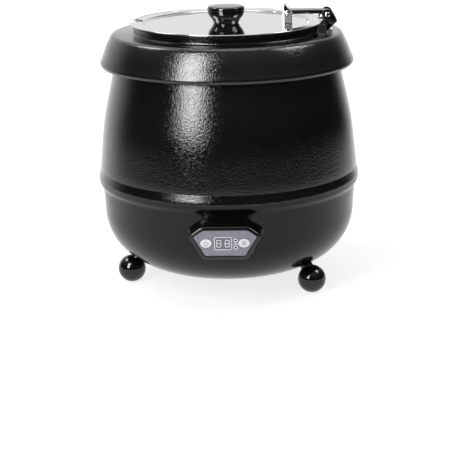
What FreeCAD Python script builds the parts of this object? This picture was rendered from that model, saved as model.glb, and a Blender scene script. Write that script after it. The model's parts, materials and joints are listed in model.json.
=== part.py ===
import FreeCAD
import Part
import math
import os

os.makedirs("parts", exist_ok=True)
Vec = FreeCAD.Vector

# Lengths are in millimetres. The kettle stands on z = 0 with its axis on the z axis.
# The control panel faces -y and the lid hinge is on the +x side.

# Overall sizes
rim_radius = 170.0            # widest point, on the bead of the lower bowl
bowl_height = 137.0           # from the floor of the bowl to the top of its bead
shell_height = 183.6          # from the seam to the flat top of the shell
pot_radius = 108.0            # at the top of the pot's wall
sheet = 1.2                   # painted steel
lift_gap = 0.3                # between pieces that lift apart

# Ball feet
foot_radius = 18.0
foot_flat_depth = 1.0         # how much of each ball is cut off flat
foot_drop = 4.0               # ball centres below the floor of the bowl
foot_inset = 37.0             # ball centres inside the rim
foot_angles = {"foot_left": -76.6, "foot_right": 53.6, "foot_rear": 168.5}
foot_collar_radius = 8.0
foot_screw_radius = 2.5
foot_screw_depth = 8.0        # past the ball's centre
foot_screw_head = 5.0

# Lower bowl
bowl_floor_radius = 67.0
bowl_wall_inset = 6.6         # wall inside the rim, where the rounded corner ends
bowl_neck_inset = 5.0         # wall inside the rim, under the bead
bowl_corner_height = 80.0
bowl_corner_power = 2.17      # 2 is an ellipse, larger is squarer
bowl_corner_steps = 10
bead_height = 30.0
bead_shape = [                # inset from the rim, share of the bead's height
    (bowl_neck_inset, 0.0), (3.9, 0.087), (1.9, 0.16), (0.5, 0.273),
    (0.0, 0.433), (0.0, 0.6), (0.7, 0.833), (1.6, 1.0),
]
service_hole_radius = 55.0
cover_lap = 9.0               # base cover beyond the service hole
cover_screw_radius = 1.5
cover_screw_head = (3.0, 1.5) # radius, height
cover_screw_length = 4.8
cover_screw_count = 4
cover_screw_start = 45.0      # angle of the first, from +x

# Seam between the bowl and the shell
seam_drop = 19.0              # below the top of the bead
seam_flange_width = 18.0      # inner edge of the flanges, in from the rim
seam_screw_inset = 13.0
seam_screw_radius = 2.0
seam_screw_count = 6
seam_screw_start = 30.0
seam_screw_head = (3.4, 2.4)  # radius, height
seam_ring_wall = 2.6
seam_ring_height = 20.0
seam_screw_length = 3.6

# Upper shell
shell_edge = 7.0              # flat top beyond the well
shell_inset = 2.54            # the shell at its widest, inside the rim
shell_shape = [               # share of the way from the flat top out to the widest, share of the height
    (0.9915, 0.0), (1.0, 0.033), (0.9683, 0.158), (0.8404, 0.414), (0.612, 0.67),
    (0.4884, 0.795), (0.3108, 0.92), (0.2135, 0.961), (0.112, 0.986), (0.0, 1.0),
]

# Heated well inside the shell
well_gap = 8.0                # between the pot's wall and the well
well_wall = 1.5
well_floor = 2.0
well_step = 6.0               # the base of the well is smaller by this
well_step_height = 20.0       # from the well's floor to the step
well_step_rise = 7.0
well_chamfer = 7.6
well_rim_width = 10.0
electrics_height = 49.0       # from the floor of the bowl to that of the well

# Heater under the well
heater_inset = 27.4           # heater circle inside the edge of the well's floor
heater_tube_radius = 4.0
heater_open_angle = 36.0
heater_leg = 14.0
clamp_inside = 15.0           # clamp plate inside and outside the heater circle
clamp_outside = 22.0
clamp_gap_half = 34.0
stud_count = 3
stud_start = -90.0
stud_offset = 14.0
stud_radius = 2.5
stud_length = 17.0
nut_size = 8.0
nut_height = 4.0
cutout_radius = 8.5
cutout_height = 9.0
cutout_y = 28.0
tab_width = 3.2
tab_length = 10.0
tab_thickness = 1.0
tab_pitch = 10.0              # between the two tabs
tab_root = 1.0                # inside the cut-out
sensor_radius = 3.0
sensor_length = 24.0
sensor_place = (-28.0, -20.0)
sensor_gap = 1.2
saddle_size = (10.0, 8.0, 9.0)
saddle_shift = 2.0            # from the middle of the sensor

# Electrics on the base cover
board_lift = 12.0
board_thickness = 1.6
power_board_size = (60.0, 50.0)
power_board_y = -11.0
stand_inset = 5.0
stand_radius = 3.0
relay_place = (-14.0, -10.0)
relay_size = (16.0, 20.0, 16.0)
transformer_place = (13.0, -12.0)
transformer_size = (22.0, 24.0, 15.0)
terminal_place = (0.0, 33.0)
terminal_size = (32.0, 14.0, 14.0)
terminal_pitch = 10.0
terminal_screw_radius = 2.4
terminal_screw_depth = 6.0
terminal_screw_length = 4.5

# Cover ring
ring_shape = [                # share of the way from the shell's flat top to its widest, share of the height
    (0.8615, 0.0), (0.888, 0.07), (0.8594, 0.19), (0.7241, 0.57), (0.6279, 0.796),
    (0.5782, 0.894), (0.5222, 0.967), (0.4387, 1.0),
]
skirt_height = 39.7
collar_gap = 3.0              # collar outside the well
collar_height = 9.4
collar_bend = 2.0

# Soup pot
pot_taper = 5.0
pot_wall = 1.0
pot_corner = 8.0
pot_floor_gap = 13.5          # above the well's floor
pot_mouth = [                 # outward from the pot's radius, down from the flange
    (-0.4, -13.3), (0.1, -7.3), (1.6, -2.7), (4.6, -0.4), (8.0, 0.0),
]
flange_overhang = 2.5         # pot flange beyond the collar

# Lid
lid_gap = 0.5                 # between the pot's flange and the lid
lid_overhang = 0.7            # rolled edge beyond the pot's flange
lid_edge_roll = 0.8
lid_rim_width = 12.7
lid_slope_width = 6.5
lid_dish = 2.4
lid_slope_shape = [(0.0, 0.0), (0.37, 0.21), (0.65, 0.79), (1.0, 1.0)]
lid_slope_shift = 0.5
ladle_notch_angle = 176.0     # from +x, anticlockwise seen from above
ladle_notch_width = 32.0
ladle_notch_depth = 16.0
knob_shape = [                # radius, height above the lid
    (15.8, 0.0), (17.4, 3.4), (21.7, 9.6), (23.2, 13.4),
    (23.7, 16.4), (23.6, 19.2), (22.9, 20.7), (21.2, 21.5),
]
knob_crown = [(21.2, 21.5), (12.0, 21.9), (0.0, 22.0)]
knob_screw_radius = 2.5
knob_screw_reach = 11.4       # into the knob
knob_screw_head = (4.6, 3.0)  # radius, height
knob_washer_size = (7.0, 1.0)

# Lid hinge
pivot_out = 6.1               # outside the lid's rolled edge
pivot_rise = 9.2              # above the lid's rim
pin_radius = 2.2
pin_clearance = 0.05
pin_head = 1.2                # head beyond the pin's radius
pin_head_height = 1.6
arm_half_width = 11.4
arm_length = 55.3
arm_lift = 1.0                # underside above the pivot
arm_thickness = 4.5
arm_tip_height = 6.5
arm_tip_thickness = 3.6
knuckle_wall = 3.3
cheek_gap = 0.4
cheek_thickness = 2.6
cheek_radius = 6.8
hinge_notch_depth = 4.7
hinge_notch_margin = 1.6
post_offset = 5.3             # post from the end of the arm
post_half = 5.8
post_wall = 1.5
post_pin_radius = 1.8
post_pin_drop = 2.0
rivet_radius = 1.5
rivet_head = (2.8, 1.0)       # radius, height
post_rivet_y = 6.0
clip_clearance = 0.5
strip_gap = 0.4
strip_wall = 1.4
tongue_margin = 2.4
tongue_wall = 1.0
clip_base_reach = 6.5
ear_y = 36.0
ear_gap = 0.4                 # between the ears and the lid's edge
ear_radius = 4.0
ear_half_wall = 0.7
ear_hole_radius = 1.6
block_rivet_radius = 1.4
block_rivet_margin = 4.4
block_foot_height = 2.0
ear_rise = 3.0                # ear hole above the collar
block_rivet_head = (2.8, 0.7)
cheek_front = (-6.4, -1.5)    # corners of the cheeks from the pivot, across and up
cheek_rear = (12.5, -8.0)
cheek_crown = (6.2, 3.0)
cheek_foot = (-2.7, 1.8)      # where the cheeks stand on the clip, across from the pivot
block_foot_top = (-3.0, 3.7)
web_corners = [(9.6, -1.5), cheek_rear, (10.9, -9.2), (7.8, -2.4)]

# Control panel, laid out on its own face: u to the right, v up, w outward
panel_reach = 20.0            # beyond the rim
panel_drop = 22.5             # below the bead
panel_tilt = 4.0
panel_back_w = -36.0
panel_half = (27.8, 42.9, 26.0)        # half widths at the top, middle and bottom corners
panel_level = (13.8, 3.7, -24.0)       # heights of those corners
panel_flare = (4.2, 3.0, 2.8)          # how much wider the back is
panel_flare_level = (3.6, 0.3, -3.6)
panel_wall = 2.6
label_inset = 3.6
label_front_w = -0.6
label_thickness = 2.0
ledge = 0.8                   # the label rests on this
key_margin = 8.3              # end of each key from the slanted side of the panel
key_v = -5.0
key_width = 13.0
key_height = 10.3
key_gap = 0.35
key_front_w = 0.4
key_travel = 0.8
key_flange = 1.2
key_flange_thickness = 1.0
key_flange_gap = 0.4
switch_size = 6.0
switch_height = 3.5
switch_stem_radius = 1.7
window_u = -2.5
window_v = -5.6
window_width = 20.0
window_height = 15.4
window_thickness = 1.2
module_margin = 1.0
lamp_gap = 3.7                # lamp centres from the edge of the key
lamp_v = (-1.9, -10.7)
lamp_radius = 1.3
board_front_w = -11.0
board_margin = 1.0
boss_radius = 3.0
boss_top_margin = (4.5, 7.6)
boss_bottom_margin = (7.5, 8.5)
panel_screw_radius = 1.4
panel_screw_head = (3.0, 1.8)
panel_screw_reach = 3.0
lead_hole = (20.0, 10.0)

# Cord gland at the rear
gland_drop = 5.0              # below the top of the bowl's rounded corner
gland_bore_radius = 3.6
gland_body_radius = 9.0
gland_tip_radius = 6.5
gland_thread_radius = 6.5
gland_thread_length = 12.0
gland_flange_width = 1.5
gland_flange_height = 7.0
gland_nut_width = 1.0
gland_seat_depth = 2.0        # the flange reaches in past the bowl's wall before it is cut to fit

# Places worked out from the sizes above
far = 400.0                   # longer than any piece, for cuts that go right through
foot_centre_z = foot_radius - foot_flat_depth
foot_circle = rim_radius - foot_inset
bowl_floor_z = foot_centre_z + foot_drop
bowl_wall_radius = rim_radius - bowl_wall_inset
bowl_wall_z = bowl_floor_z + bowl_corner_height
bead_top_z = bowl_floor_z + bowl_height
bowl_neck_z = bead_top_z - bead_height
shell_seat_z = bead_top_z - seam_drop
shell_top_z = shell_seat_z + shell_height
well_radius = pot_radius + well_gap
well_step_radius = well_radius - well_step
well_floor_z = bowl_floor_z + electrics_height
well_under_z = well_floor_z - well_floor
shell_edge_radius = well_radius + shell_edge
ring_shoulder_z = shell_top_z + well_wall + lift_gap + sheet
collar_radius = well_radius + collar_gap
collar_top_z = ring_shoulder_z + collar_height
pot_base_radius = pot_radius - pot_taper
pot_floor_z = well_floor_z + pot_floor_gap
pot_flange_radius = collar_radius + flange_overhang
pot_flange_z = collar_top_z + lift_gap
lid_radius = pot_flange_radius + lid_overhang
lid_rim_z = pot_flange_z + pot_wall + lid_gap
lid_panel_z = lid_rim_z - lid_dish
lid_top_z = lid_panel_z + sheet
pivot_x = lid_radius + pivot_out
pivot_z = lid_rim_z + pivot_rise
panel_front_y = -rim_radius - panel_reach
panel_centre_z = bowl_neck_z - panel_drop


def at(r, z):
    return Vec(r, 0, z)


def lines(points):
    """Straight edges from each point to the next."""
    return [Part.makeLine(at(*a), at(*b)) for a, b in zip(points, points[1:])]


def curve(points):
    """One smooth edge through all the points."""
    spline = Part.BSplineCurve()
    spline.interpolate([at(*p) for p in points])
    return [spline.toShape()]


def quarter(r, z, radius):
    """Quarter circle about (r, z), from straight below it to straight outside it."""
    slant = radius / math.sqrt(2)
    return [Part.Arc(at(r, z - radius), at(r + slant, z - slant), at(r + radius, z)).toShape()]


def spun(edges):
    """Solid made by turning a closed outline about the vertical axis."""
    face = Part.Face(Part.Wire(edges))
    return face.revolve(Vec(0, 0, 0), Vec(0, 0, 1), 360)


def beside(points, distance):
    """The same run of points moved to its left by the thickness of the sheet."""
    moved = []
    last = len(points) - 1
    for i, (r, z) in enumerate(points):
        r0, z0 = points[max(i - 1, 0)]
        r1, z1 = points[min(i + 1, last)]
        length = math.hypot(r1 - r0, z1 - z0)
        moved.append((r - distance * (z1 - z0) / length, z + distance * (r1 - r0) / length))
    return moved


def barrel(shape, foot_z, height):
    """Outline given as shares: across from the flat top's edge to the shell's widest, and up the height."""
    span = rim_radius - shell_inset - shell_edge_radius
    return [(shell_edge_radius + span * across, foot_z + height * up) for across, up in shape]


def disc(radius, z, height, x=0.0, y=0.0):
    return Part.makeCylinder(radius, height, Vec(x, y, z))


def washer(outer, inner, z, height):
    return disc(outer, z, height).cut(disc(inner, z - 1, height + 2))


def box(x0, x1, y0, y1, z0, z1):
    return Part.makeBox(x1 - x0, y1 - y0, z1 - z0, Vec(x0, y0, z0))


def block_on(place, size, z):
    """Box standing at height z, centred on a place."""
    x, y = place
    wide, deep, tall = size
    return box(x - wide / 2, x + wide / 2, y - deep / 2, y + deep / 2, z, z + tall)


def hexagon(across_flats, z, height, x, y):
    corner = across_flats / math.sqrt(3)
    points = [Vec(x + corner * math.cos(math.radians(a)), y + corner * math.sin(math.radians(a)), z)
              for a in range(0, 361, 60)]
    return Part.Face(Part.makePolygon(points)).extrude(Vec(0, 0, height))


def around(count, circle, first=0.0):
    """Points spaced evenly on a circle, as (x, y)."""
    angles = [math.radians(first + 360.0 * i / count) for i in range(count)]
    return [(circle * math.cos(a), circle * math.sin(a)) for a in angles]


def fused(shapes):
    return shapes[0].multiFuse(shapes[1:]).removeSplitter()


def largest(shape):
    return max(shape.Solids, key=lambda solid: solid.Volume)


def save(name, shape):
    shape.exportStep("parts/" + name + ".step")
    print(name, "solids", len(shape.Solids), "valid", shape.isValid(), "volume", round(shape.Volume))


# Lower bowl: a rounded corner, a wall and a rolled bead at the rim
def bowl_corner(inset):
    """Rounded corner of the bowl from its floor to its wall, drawn in by the inset."""
    wide = bowl_wall_radius - bowl_floor_radius - inset
    tall = bowl_corner_height - inset
    points = []
    for step in range(bowl_corner_steps + 1):
        angle = math.radians(90.0 * (1 - step / bowl_corner_steps))
        across = math.cos(angle) ** (2 / bowl_corner_power) if step else 0.0
        down = math.sin(angle) ** (2 / bowl_corner_power) if step < bowl_corner_steps else 0.0
        points.append((bowl_floor_radius + wide * across, bowl_wall_z - tall * down))
    return points


bead_curve = [(rim_radius - inset, bowl_neck_z + bead_height * up) for inset, up in bead_shape]
bead_inside = beside(bead_curve, sheet)
bead_inside[-1] = (bead_curve[-1][0] - sheet, bead_top_z)


def bowl_solid():
    outer = bowl_corner(0.0)
    inner = bowl_corner(sheet)
    edges = lines([(service_hole_radius, bowl_floor_z), outer[0]])
    edges += curve(outer)
    edges += lines([outer[-1], bead_curve[0]])
    edges += curve(bead_curve)
    edges += lines([bead_curve[-1], bead_inside[-1]])
    edges += curve(bead_inside[::-1])
    edges += lines([bead_inside[0], inner[-1]])
    edges += curve(inner[::-1])
    hole_edge = [(service_hole_radius, bowl_floor_z + sheet), (service_hole_radius, bowl_floor_z)]
    edges += lines([inner[0]] + hole_edge)
    return spun(edges)


def bowl_outside():
    """Everything inside the outer face of the bowl, for cutting pieces to sit on it."""
    outer = bowl_corner(0.0)
    edges = lines([(0, bowl_floor_z), outer[0]])
    edges += curve(outer)
    edges += lines([outer[-1], bead_curve[0]])
    edges += curve(bead_curve)
    edges += lines([bead_curve[-1], (0, bead_top_z), (0, bowl_floor_z)])
    return spun(edges)


bowl = bowl_solid()
bowl_full = bowl_outside()

# Ball feet, each on a screw square to the bowl
foot_line = min(bowl_corner(0.0), key=lambda p: math.hypot(p[0] - foot_circle, p[1] - foot_centre_z))
foot_reach = math.hypot(foot_line[0] - foot_circle, foot_line[1] - foot_centre_z)


def foot_place(shape, angle):
    """Turns a foot drawn on the +x side to its own place, given from the front."""
    turned = shape.copy()
    turned.rotate(Vec(0, 0, 0), Vec(0, 0, 1), angle - 90.0)
    return turned


def along_foot(radius, start, end):
    """Cylinder on the line from the ball's centre to the bowl."""
    centre = at(foot_circle, foot_centre_z)
    direction = at(*foot_line) - centre
    direction.normalize()
    return Part.makeCylinder(radius, end - start, centre + direction * start, direction)


ball = Part.makeSphere(foot_radius, at(foot_circle, foot_centre_z))
ball = ball.cut(box(foot_circle - far, foot_circle + far, -far, far, -far, 0))
ball = fused([ball, along_foot(foot_collar_radius, 0, foot_reach + foot_collar_radius)])
screw_end = foot_reach + foot_screw_head
screw_hole = along_foot(foot_screw_radius, -foot_screw_depth, screw_end + foot_collar_radius)
ball = ball.cut(screw_hole)
screw = along_foot(foot_screw_radius, -foot_screw_depth, screw_end)
screw = screw.fuse(along_foot(foot_screw_head, foot_reach + sheet, foot_reach + sheet + foot_screw_head))
foot_screws = []
for name, angle in foot_angles.items():
    save(name, foot_place(ball, angle).cut(bowl_full))
    bowl = bowl.cut(foot_place(screw_hole, angle))
    foot_screws.append(largest(foot_place(screw, angle).cut(bowl)))
save("foot_screws", Part.makeCompound(foot_screws))


# Control panel: a hollow six-sided housing on the front of the bowl
def panel_place(shape):
    """Moves a piece from the panel's own face to the front of the bowl."""
    placed = shape.copy()
    placed.rotate(Vec(0, 0, 0), Vec(1, 0, 0), -panel_tilt)
    placed.translate(Vec(0, panel_front_y, panel_centre_z))
    return placed


def six_sided(halves, levels):
    """Outline from half widths and heights of its top, middle and bottom corners, clockwise from top left."""
    right = list(zip(halves, levels))
    left = [(-u, v) for u, v in reversed(right)]
    return left[-1:] + right + left[:-1]


def inset(points, distance):
    """The same clockwise outline with every side moved inward by the distance."""
    moved = []
    for i, (u, v) in enumerate(points):
        before = points[i - 1]
        after = points[(i + 1) % len(points)]
        first = Vec(v - before[1], before[0] - u, 0).normalize()
        second = Vec(after[1] - v, u - after[0], 0).normalize()
        step = (first + second) * (distance / (1 + first.dot(second)))
        moved.append((u + step.x, v + step.y))
    return moved


def outline_wire(points, w):
    corners = [Vec(u, -w, v) for u, v in points]
    return Part.makePolygon(corners + [corners[0]])


def slab(points, w_back, w_front):
    return Part.Face(outline_wire(points, w_back)).extrude(Vec(0, w_back - w_front, 0))


def tile(u, v, width, height, w_back, w_front):
    """Box on the panel's face, centred on u and v."""
    return box(u - width / 2, u + width / 2, -w_front, -w_back, v - height / 2, v + height / 2)


def rod(radius, u, v, w_back, w_front):
    return Part.makeCylinder(radius, w_front - w_back, Vec(u, -w_front, v), Vec(0, 1, 0))


def oval(u, v, width, height, w_back, w_front):
    """Key shape: a box with half-round ends."""
    half = (width - height) / 2
    ends = [rod(height / 2, u + side * half, v, w_back, w_front) for side in (-1, 1)]
    return fused([tile(u, v, 2 * half, height, w_back, w_front)] + ends)


label_back_w = label_front_w - label_thickness
board_back_w = board_front_w - board_thickness
front_outline = six_sided(panel_half, panel_level)
back_outline = six_sided([a + b for a, b in zip(panel_half, panel_flare)],
                         [a + b for a, b in zip(panel_level, panel_flare_level)])
side_slope = (panel_half[1] - panel_half[2]) / (panel_level[1] - panel_level[2])
key_u = panel_half[1] - side_slope * (panel_level[1] - key_v) - key_margin - key_width / 2
label_outline = inset(front_outline, label_inset)
hollow_outline = inset(label_outline, ledge)
housing = Part.makeLoft([outline_wire(back_outline, panel_back_w),
                         outline_wire(front_outline, 0.0)], True, True)
hollow = Part.makeLoft([outline_wire(inset(back_outline, panel_wall), panel_back_w - 1),
                        outline_wire(hollow_outline, label_back_w)], True, True)
housing = housing.cut(hollow).cut(slab(label_outline, label_back_w, label_thickness))
save("panel_housing", largest(panel_place(housing).cut(bowl_full)))

top_boss = (panel_half[0] - boss_top_margin[0], panel_level[0] - boss_top_margin[1])
bottom_boss = (panel_half[2] - boss_bottom_margin[0], panel_level[2] + boss_bottom_margin[1])
boss_places = [(side * u, v) for u, v in (top_boss, bottom_boss) for side in (-1, 1)]
spacers = []
for u, v in boss_places:
    boss = rod(boss_radius, u, v, panel_back_w, board_back_w).cut(rod(panel_screw_radius, u, v, -far, far))
    spacers.append(largest(panel_place(boss).cut(bowl_full)))
save("panel_spacers", Part.makeCompound(spacers))

label = slab(label_outline, label_back_w, label_front_w)
for side in (-1, 1):
    label = label.cut(oval(side * key_u, key_v, key_width + 2 * key_gap, key_height + 2 * key_gap, -far, far))
label = label.cut(tile(window_u, window_v, window_width, window_height, -far, far))
lamp_u = key_u - key_width / 2 - lamp_gap
for v in lamp_v:
    label = label.cut(rod(lamp_radius, lamp_u, v, -far, far))
save("panel_label", panel_place(label))

window_back_w = label_front_w - window_thickness
window = tile(window_u, window_v, window_width, window_height, window_back_w, label_front_w)
save("display_window", panel_place(window))
save("display_module", panel_place(tile(window_u, window_v, window_width - 2 * module_margin,
                                        window_height - 2 * module_margin, board_front_w, window_back_w)))
lamps = [rod(lamp_radius, lamp_u, v, board_front_w, label_front_w) for v in lamp_v]
save("indicator_lamps", panel_place(Part.makeCompound(lamps)))

board = slab(inset(hollow_outline, board_margin), board_back_w, board_front_w)
panel_screws = []
for u, v in boss_places:
    board = board.cut(rod(panel_screw_radius, u, v, -far, far))
    shaft = rod(panel_screw_radius, u, v, panel_back_w - panel_screw_reach, board_front_w)
    head = rod(panel_screw_head[0], u, v, board_front_w, board_front_w + panel_screw_head[1])
    panel_screws.append(fused([shaft, head]))
    bowl = bowl.cut(panel_place(rod(panel_screw_radius, u, v, 2 * panel_back_w, board_front_w)))
save("control_board", panel_place(board))
save("panel_screws", panel_place(Part.makeCompound(panel_screws)))
bowl = bowl.cut(panel_place(tile(0, 0, lead_hole[0], lead_hole[1], 2 * panel_back_w, label_back_w)))

flange_front_w = label_back_w - key_flange_gap
flange_back_w = flange_front_w - key_flange_thickness
switch_front_w = board_front_w + switch_height
stem_front_w = flange_back_w - key_travel - key_flange_gap
switches = []
for name, side in (("power_key", -1), ("set_key", 1)):
    u = side * key_u
    cap = oval(u, key_v, key_width, key_height, flange_back_w, key_front_w)
    stop = oval(u, key_v, key_width + 2 * key_flange, key_height + 2 * key_flange,
                flange_back_w, flange_front_w)
    save(name, panel_place(fused([cap, stop])))
    body = tile(u, key_v, switch_size, switch_size, board_front_w, switch_front_w)
    switches.append(fused([body, rod(switch_stem_radius, u, key_v, switch_front_w, stem_front_w)]))
save("key_switches", panel_place(Part.makeCompound(switches)))

# Cord gland at the rear of the bowl, its tip as far back as the panel is forward
gland_z = bowl_wall_z - gland_drop
gland_tip_y = -panel_front_y - panel_level[2] * math.sin(math.radians(panel_tilt))
gland_seat_y = bowl_wall_radius - gland_seat_depth
gland_flange_y = gland_seat_y + gland_flange_height


def gland_rod(radius, y0, y1):
    return Part.makeCylinder(radius, y1 - y0, Vec(0, y0, gland_z), Vec(0, 1, 0))


gland_flange = gland_rod(gland_body_radius + gland_flange_width, gland_seat_y, gland_flange_y).cut(bowl_full)
gland_nose = Part.makeCone(gland_body_radius, gland_tip_radius, gland_tip_y - gland_flange_y,
                           Vec(0, gland_flange_y, gland_z), Vec(0, 1, 0))
gland_thread = gland_rod(gland_thread_radius, gland_seat_y - gland_thread_length, gland_flange_y)
save("cord_gland", fused([gland_flange, gland_nose, gland_thread]).cut(gland_rod(gland_bore_radius, 0, far)))
bowl = bowl.cut(gland_rod(gland_thread_radius, bowl_floor_radius, far))
nut = gland_rod(gland_body_radius + gland_nut_width, gland_seat_y - gland_flange_height, far)
nut = nut.cut(gland_rod(gland_thread_radius, 0, far))
nut_low_z = gland_z - gland_body_radius
nut_face = max(r for r, z in bowl_corner(sheet) if z <= nut_low_z)
save("gland_nut", nut.common(disc(nut_face, nut_low_z, 2 * gland_body_radius)))

# Base cover over the service hole of the bowl
cover_z = bowl_floor_z - sheet
cover = disc(service_hole_radius + cover_lap, cover_z, sheet)
head_radius, head_height = cover_screw_head
cover_screws = []
for x, y in around(cover_screw_count, service_hole_radius + cover_lap / 2, cover_screw_start):
    hole = disc(cover_screw_radius, 0, far, x, y)
    cover = cover.cut(hole)
    bowl = bowl.cut(hole)
    head = disc(head_radius, cover_z - head_height, head_height, x, y)
    cover_screws.append(fused([disc(cover_screw_radius, cover_z, cover_screw_length, x, y), head]))
save("base_cover", cover)
save("base_screws", Part.makeCompound(cover_screws))

# Seam: a ring inside the bowl's neck with a flange, and the shell's own flange screwed to it
shell_curve = barrel(shell_shape, shell_seat_z, shell_height)
seam_outer = rim_radius - bowl_neck_inset - sheet
seam_inner = rim_radius - seam_flange_width
seam_flange_z = shell_seat_z - sheet
seam_wall = washer(seam_outer, seam_outer - seam_ring_wall, seam_flange_z - seam_ring_height,
                   seam_ring_height + sheet)
seam_ring = fused([seam_wall, washer(seam_outer, seam_inner, seam_flange_z, sheet)])
shell_seat = washer(shell_curve[0][0] - sheet / 2, seam_inner, shell_seat_z, sheet)
head_radius, head_height = seam_screw_head
seam_screws = []
for x, y in around(seam_screw_count, rim_radius - seam_screw_inset, seam_screw_start):
    hole = disc(seam_screw_radius, 0, far, x, y)
    seam_ring = seam_ring.cut(hole)
    shell_seat = shell_seat.cut(hole)
    head = disc(head_radius, seam_flange_z - head_height, head_height, x, y)
    seam_screws.append(fused([disc(seam_screw_radius, seam_flange_z, seam_screw_length, x, y), head]))
save("seam_ring", largest(seam_ring.cut(bowl)))
save("seam_screws", Part.makeCompound(seam_screws))
save("lower_bowl", bowl)

# Upper shell
shell_inside = beside(shell_curve, sheet)
shell_inside[0] = (shell_curve[0][0] - sheet, shell_seat_z)
shell_inside[-1] = (shell_edge_radius, shell_top_z - sheet)
well_outer = well_radius + well_wall
edges = curve(shell_curve)
edges += lines([shell_curve[-1], (well_outer, shell_top_z), (well_outer, shell_top_z - sheet),
                shell_inside[-1]])
edges += curve(shell_inside[::-1])
edges += lines([shell_inside[0], shell_curve[0]])
save("upper_shell", fused([spun(edges), shell_seat]))

# Heated well: chamfered base, a step the pot can't reach, and a rim that rests on the shell
slant = well_wall * math.sqrt(2)
floor_edge = well_step_radius - well_chamfer
step_z = well_floor_z + well_step_height
step_outer = well_step_radius + well_wall
rim_top = shell_top_z + well_wall
rim_outer = well_radius + well_rim_width
well_outline = [
    (0, well_under_z), (floor_edge + slant - well_floor, well_under_z),
    (step_outer, well_floor_z + well_chamfer + well_wall - slant), (step_outer, step_z),
    (well_outer, step_z + well_step_rise), (well_outer, shell_top_z), (rim_outer, shell_top_z),
    (rim_outer, rim_top), (well_outer, rim_top), (well_radius, shell_top_z),
    (well_radius, step_z + well_step_rise + slant - well_wall),
    (well_step_radius, step_z + slant - well_wall), (well_step_radius, well_floor_z + well_chamfer),
    (floor_edge, well_floor_z), (0, well_floor_z), (0, well_under_z),
]
save("heating_well", spun(lines(well_outline)))

# Heater, clamp, sensor and cut-out under the well
heater_circle = floor_edge - heater_inset
heater_z = well_under_z - heater_tube_radius
tube = Part.makeTorus(heater_circle, heater_tube_radius, Vec(0, 0, heater_z), Vec(0, 0, 1), -180, 180,
                      360 - heater_open_angle)
tube.rotate(Vec(0, 0, 0), Vec(0, 0, 1), 90 + heater_open_angle / 2)
half_open = math.radians(heater_open_angle / 2)
legs = []
for side in (-1, 1):
    x = side * heater_circle * math.sin(half_open)
    y = heater_circle * math.cos(half_open)
    legs.append(disc(heater_tube_radius, heater_z - heater_leg, heater_leg, x, y))
    legs.append(Part.makeSphere(heater_tube_radius, Vec(x, y, heater_z)))
save("heating_element", fused([tube] + legs))

clamp_z = heater_z - heater_tube_radius - sheet
clamp = washer(heater_circle + clamp_outside, heater_circle - clamp_inside, clamp_z, sheet)
clamp = clamp.cut(box(-clamp_gap_half, clamp_gap_half, 0, far, clamp_z - sheet, clamp_z + 2 * sheet))
studs = []
nuts = []
for x, y in around(stud_count, heater_circle + stud_offset, stud_start):
    hole = disc(stud_radius, 0, far, x, y)
    clamp = clamp.cut(hole)
    studs.append(disc(stud_radius, well_under_z - stud_length, stud_length, x, y))
    nuts.append(hexagon(nut_size, clamp_z - nut_height, nut_height, x, y).cut(hole))
save("heater_clamp", clamp)
save("heater_studs", Part.makeCompound(studs))
save("heater_nuts", Part.makeCompound(nuts))

tab_z = well_under_z - cutout_height - tab_length + tab_root
cutout = [disc(cutout_radius, well_under_z - cutout_height, cutout_height, 0, cutout_y)]
for y in (cutout_y - tab_pitch / 2, cutout_y + tab_pitch / 2):
    cutout.append(block_on((0, y), (tab_width, tab_thickness, tab_length), tab_z))
save("thermal_cutout", fused(cutout))
sensor_x, sensor_y = sensor_place
sensor_z = well_under_z - sensor_radius - sensor_gap
sensor = Part.makeCylinder(sensor_radius, sensor_length, Vec(sensor_x, sensor_y, sensor_z), Vec(0, 1, 0))
save("temperature_sensor", sensor)
saddle_y = sensor_y + sensor_length / 2 - saddle_shift
saddle = block_on((sensor_x, saddle_y), saddle_size, well_under_z - saddle_size[2])
save("sensor_saddle", saddle.cut(sensor))

# Power board and terminal block on the base cover
board_z = bowl_floor_z + board_lift
board_top = board_z + board_thickness
board_wide, board_deep = power_board_size
stand_x = board_wide / 2 - stand_inset
stand_y = board_deep / 2 - stand_inset
save("power_board", block_on((0, power_board_y), (board_wide, board_deep, board_thickness), board_z))
stands = [disc(stand_radius, bowl_floor_z, board_lift, sx * stand_x, power_board_y + sy * stand_y)
          for sx in (-1, 1) for sy in (-1, 1)]
save("board_stands", Part.makeCompound(stands))
save("heater_relay", block_on(relay_place, relay_size, board_top))
save("supply_transformer", block_on(transformer_place, transformer_size, board_top))
terminal = block_on(terminal_place, terminal_size, bowl_floor_z)
terminal_z = bowl_floor_z + terminal_size[2] - terminal_screw_depth
terminal_screws = []
for pitch in (-1, 0, 1):
    x = terminal_place[0] + pitch * terminal_pitch
    y = terminal_place[1]
    terminal = terminal.cut(disc(terminal_screw_radius, terminal_z, far, x, y))
    terminal_screws.append(disc(terminal_screw_radius, terminal_z, terminal_screw_length, x, y))
save("terminal_block", terminal)
save("terminal_screws", Part.makeCompound(terminal_screws))

# Cover ring: flared skirt, flat shoulder and upstanding collar
ring_curve = barrel(ring_shape, ring_shoulder_z - skirt_height, skirt_height)
ring_inside = beside(ring_curve, sheet)
ring_inside[-1] = (ring_curve[-1][0], ring_shoulder_z - sheet)
collar_in = collar_radius - sheet
edges = curve(ring_curve)
collar_outline = [
    (collar_radius + collar_bend, ring_shoulder_z), (collar_radius, ring_shoulder_z + collar_bend),
    (collar_radius, collar_top_z), (collar_in, collar_top_z), (collar_in, ring_shoulder_z + collar_bend / 2),
    (collar_radius + collar_bend / 2, ring_shoulder_z - sheet),
]
edges += lines([ring_curve[-1]] + collar_outline + [ring_inside[-1]])
edges += curve(ring_inside[::-1])
edges += lines([ring_inside[0], ring_curve[0]])
save("cover_ring", spun(edges))

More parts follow.
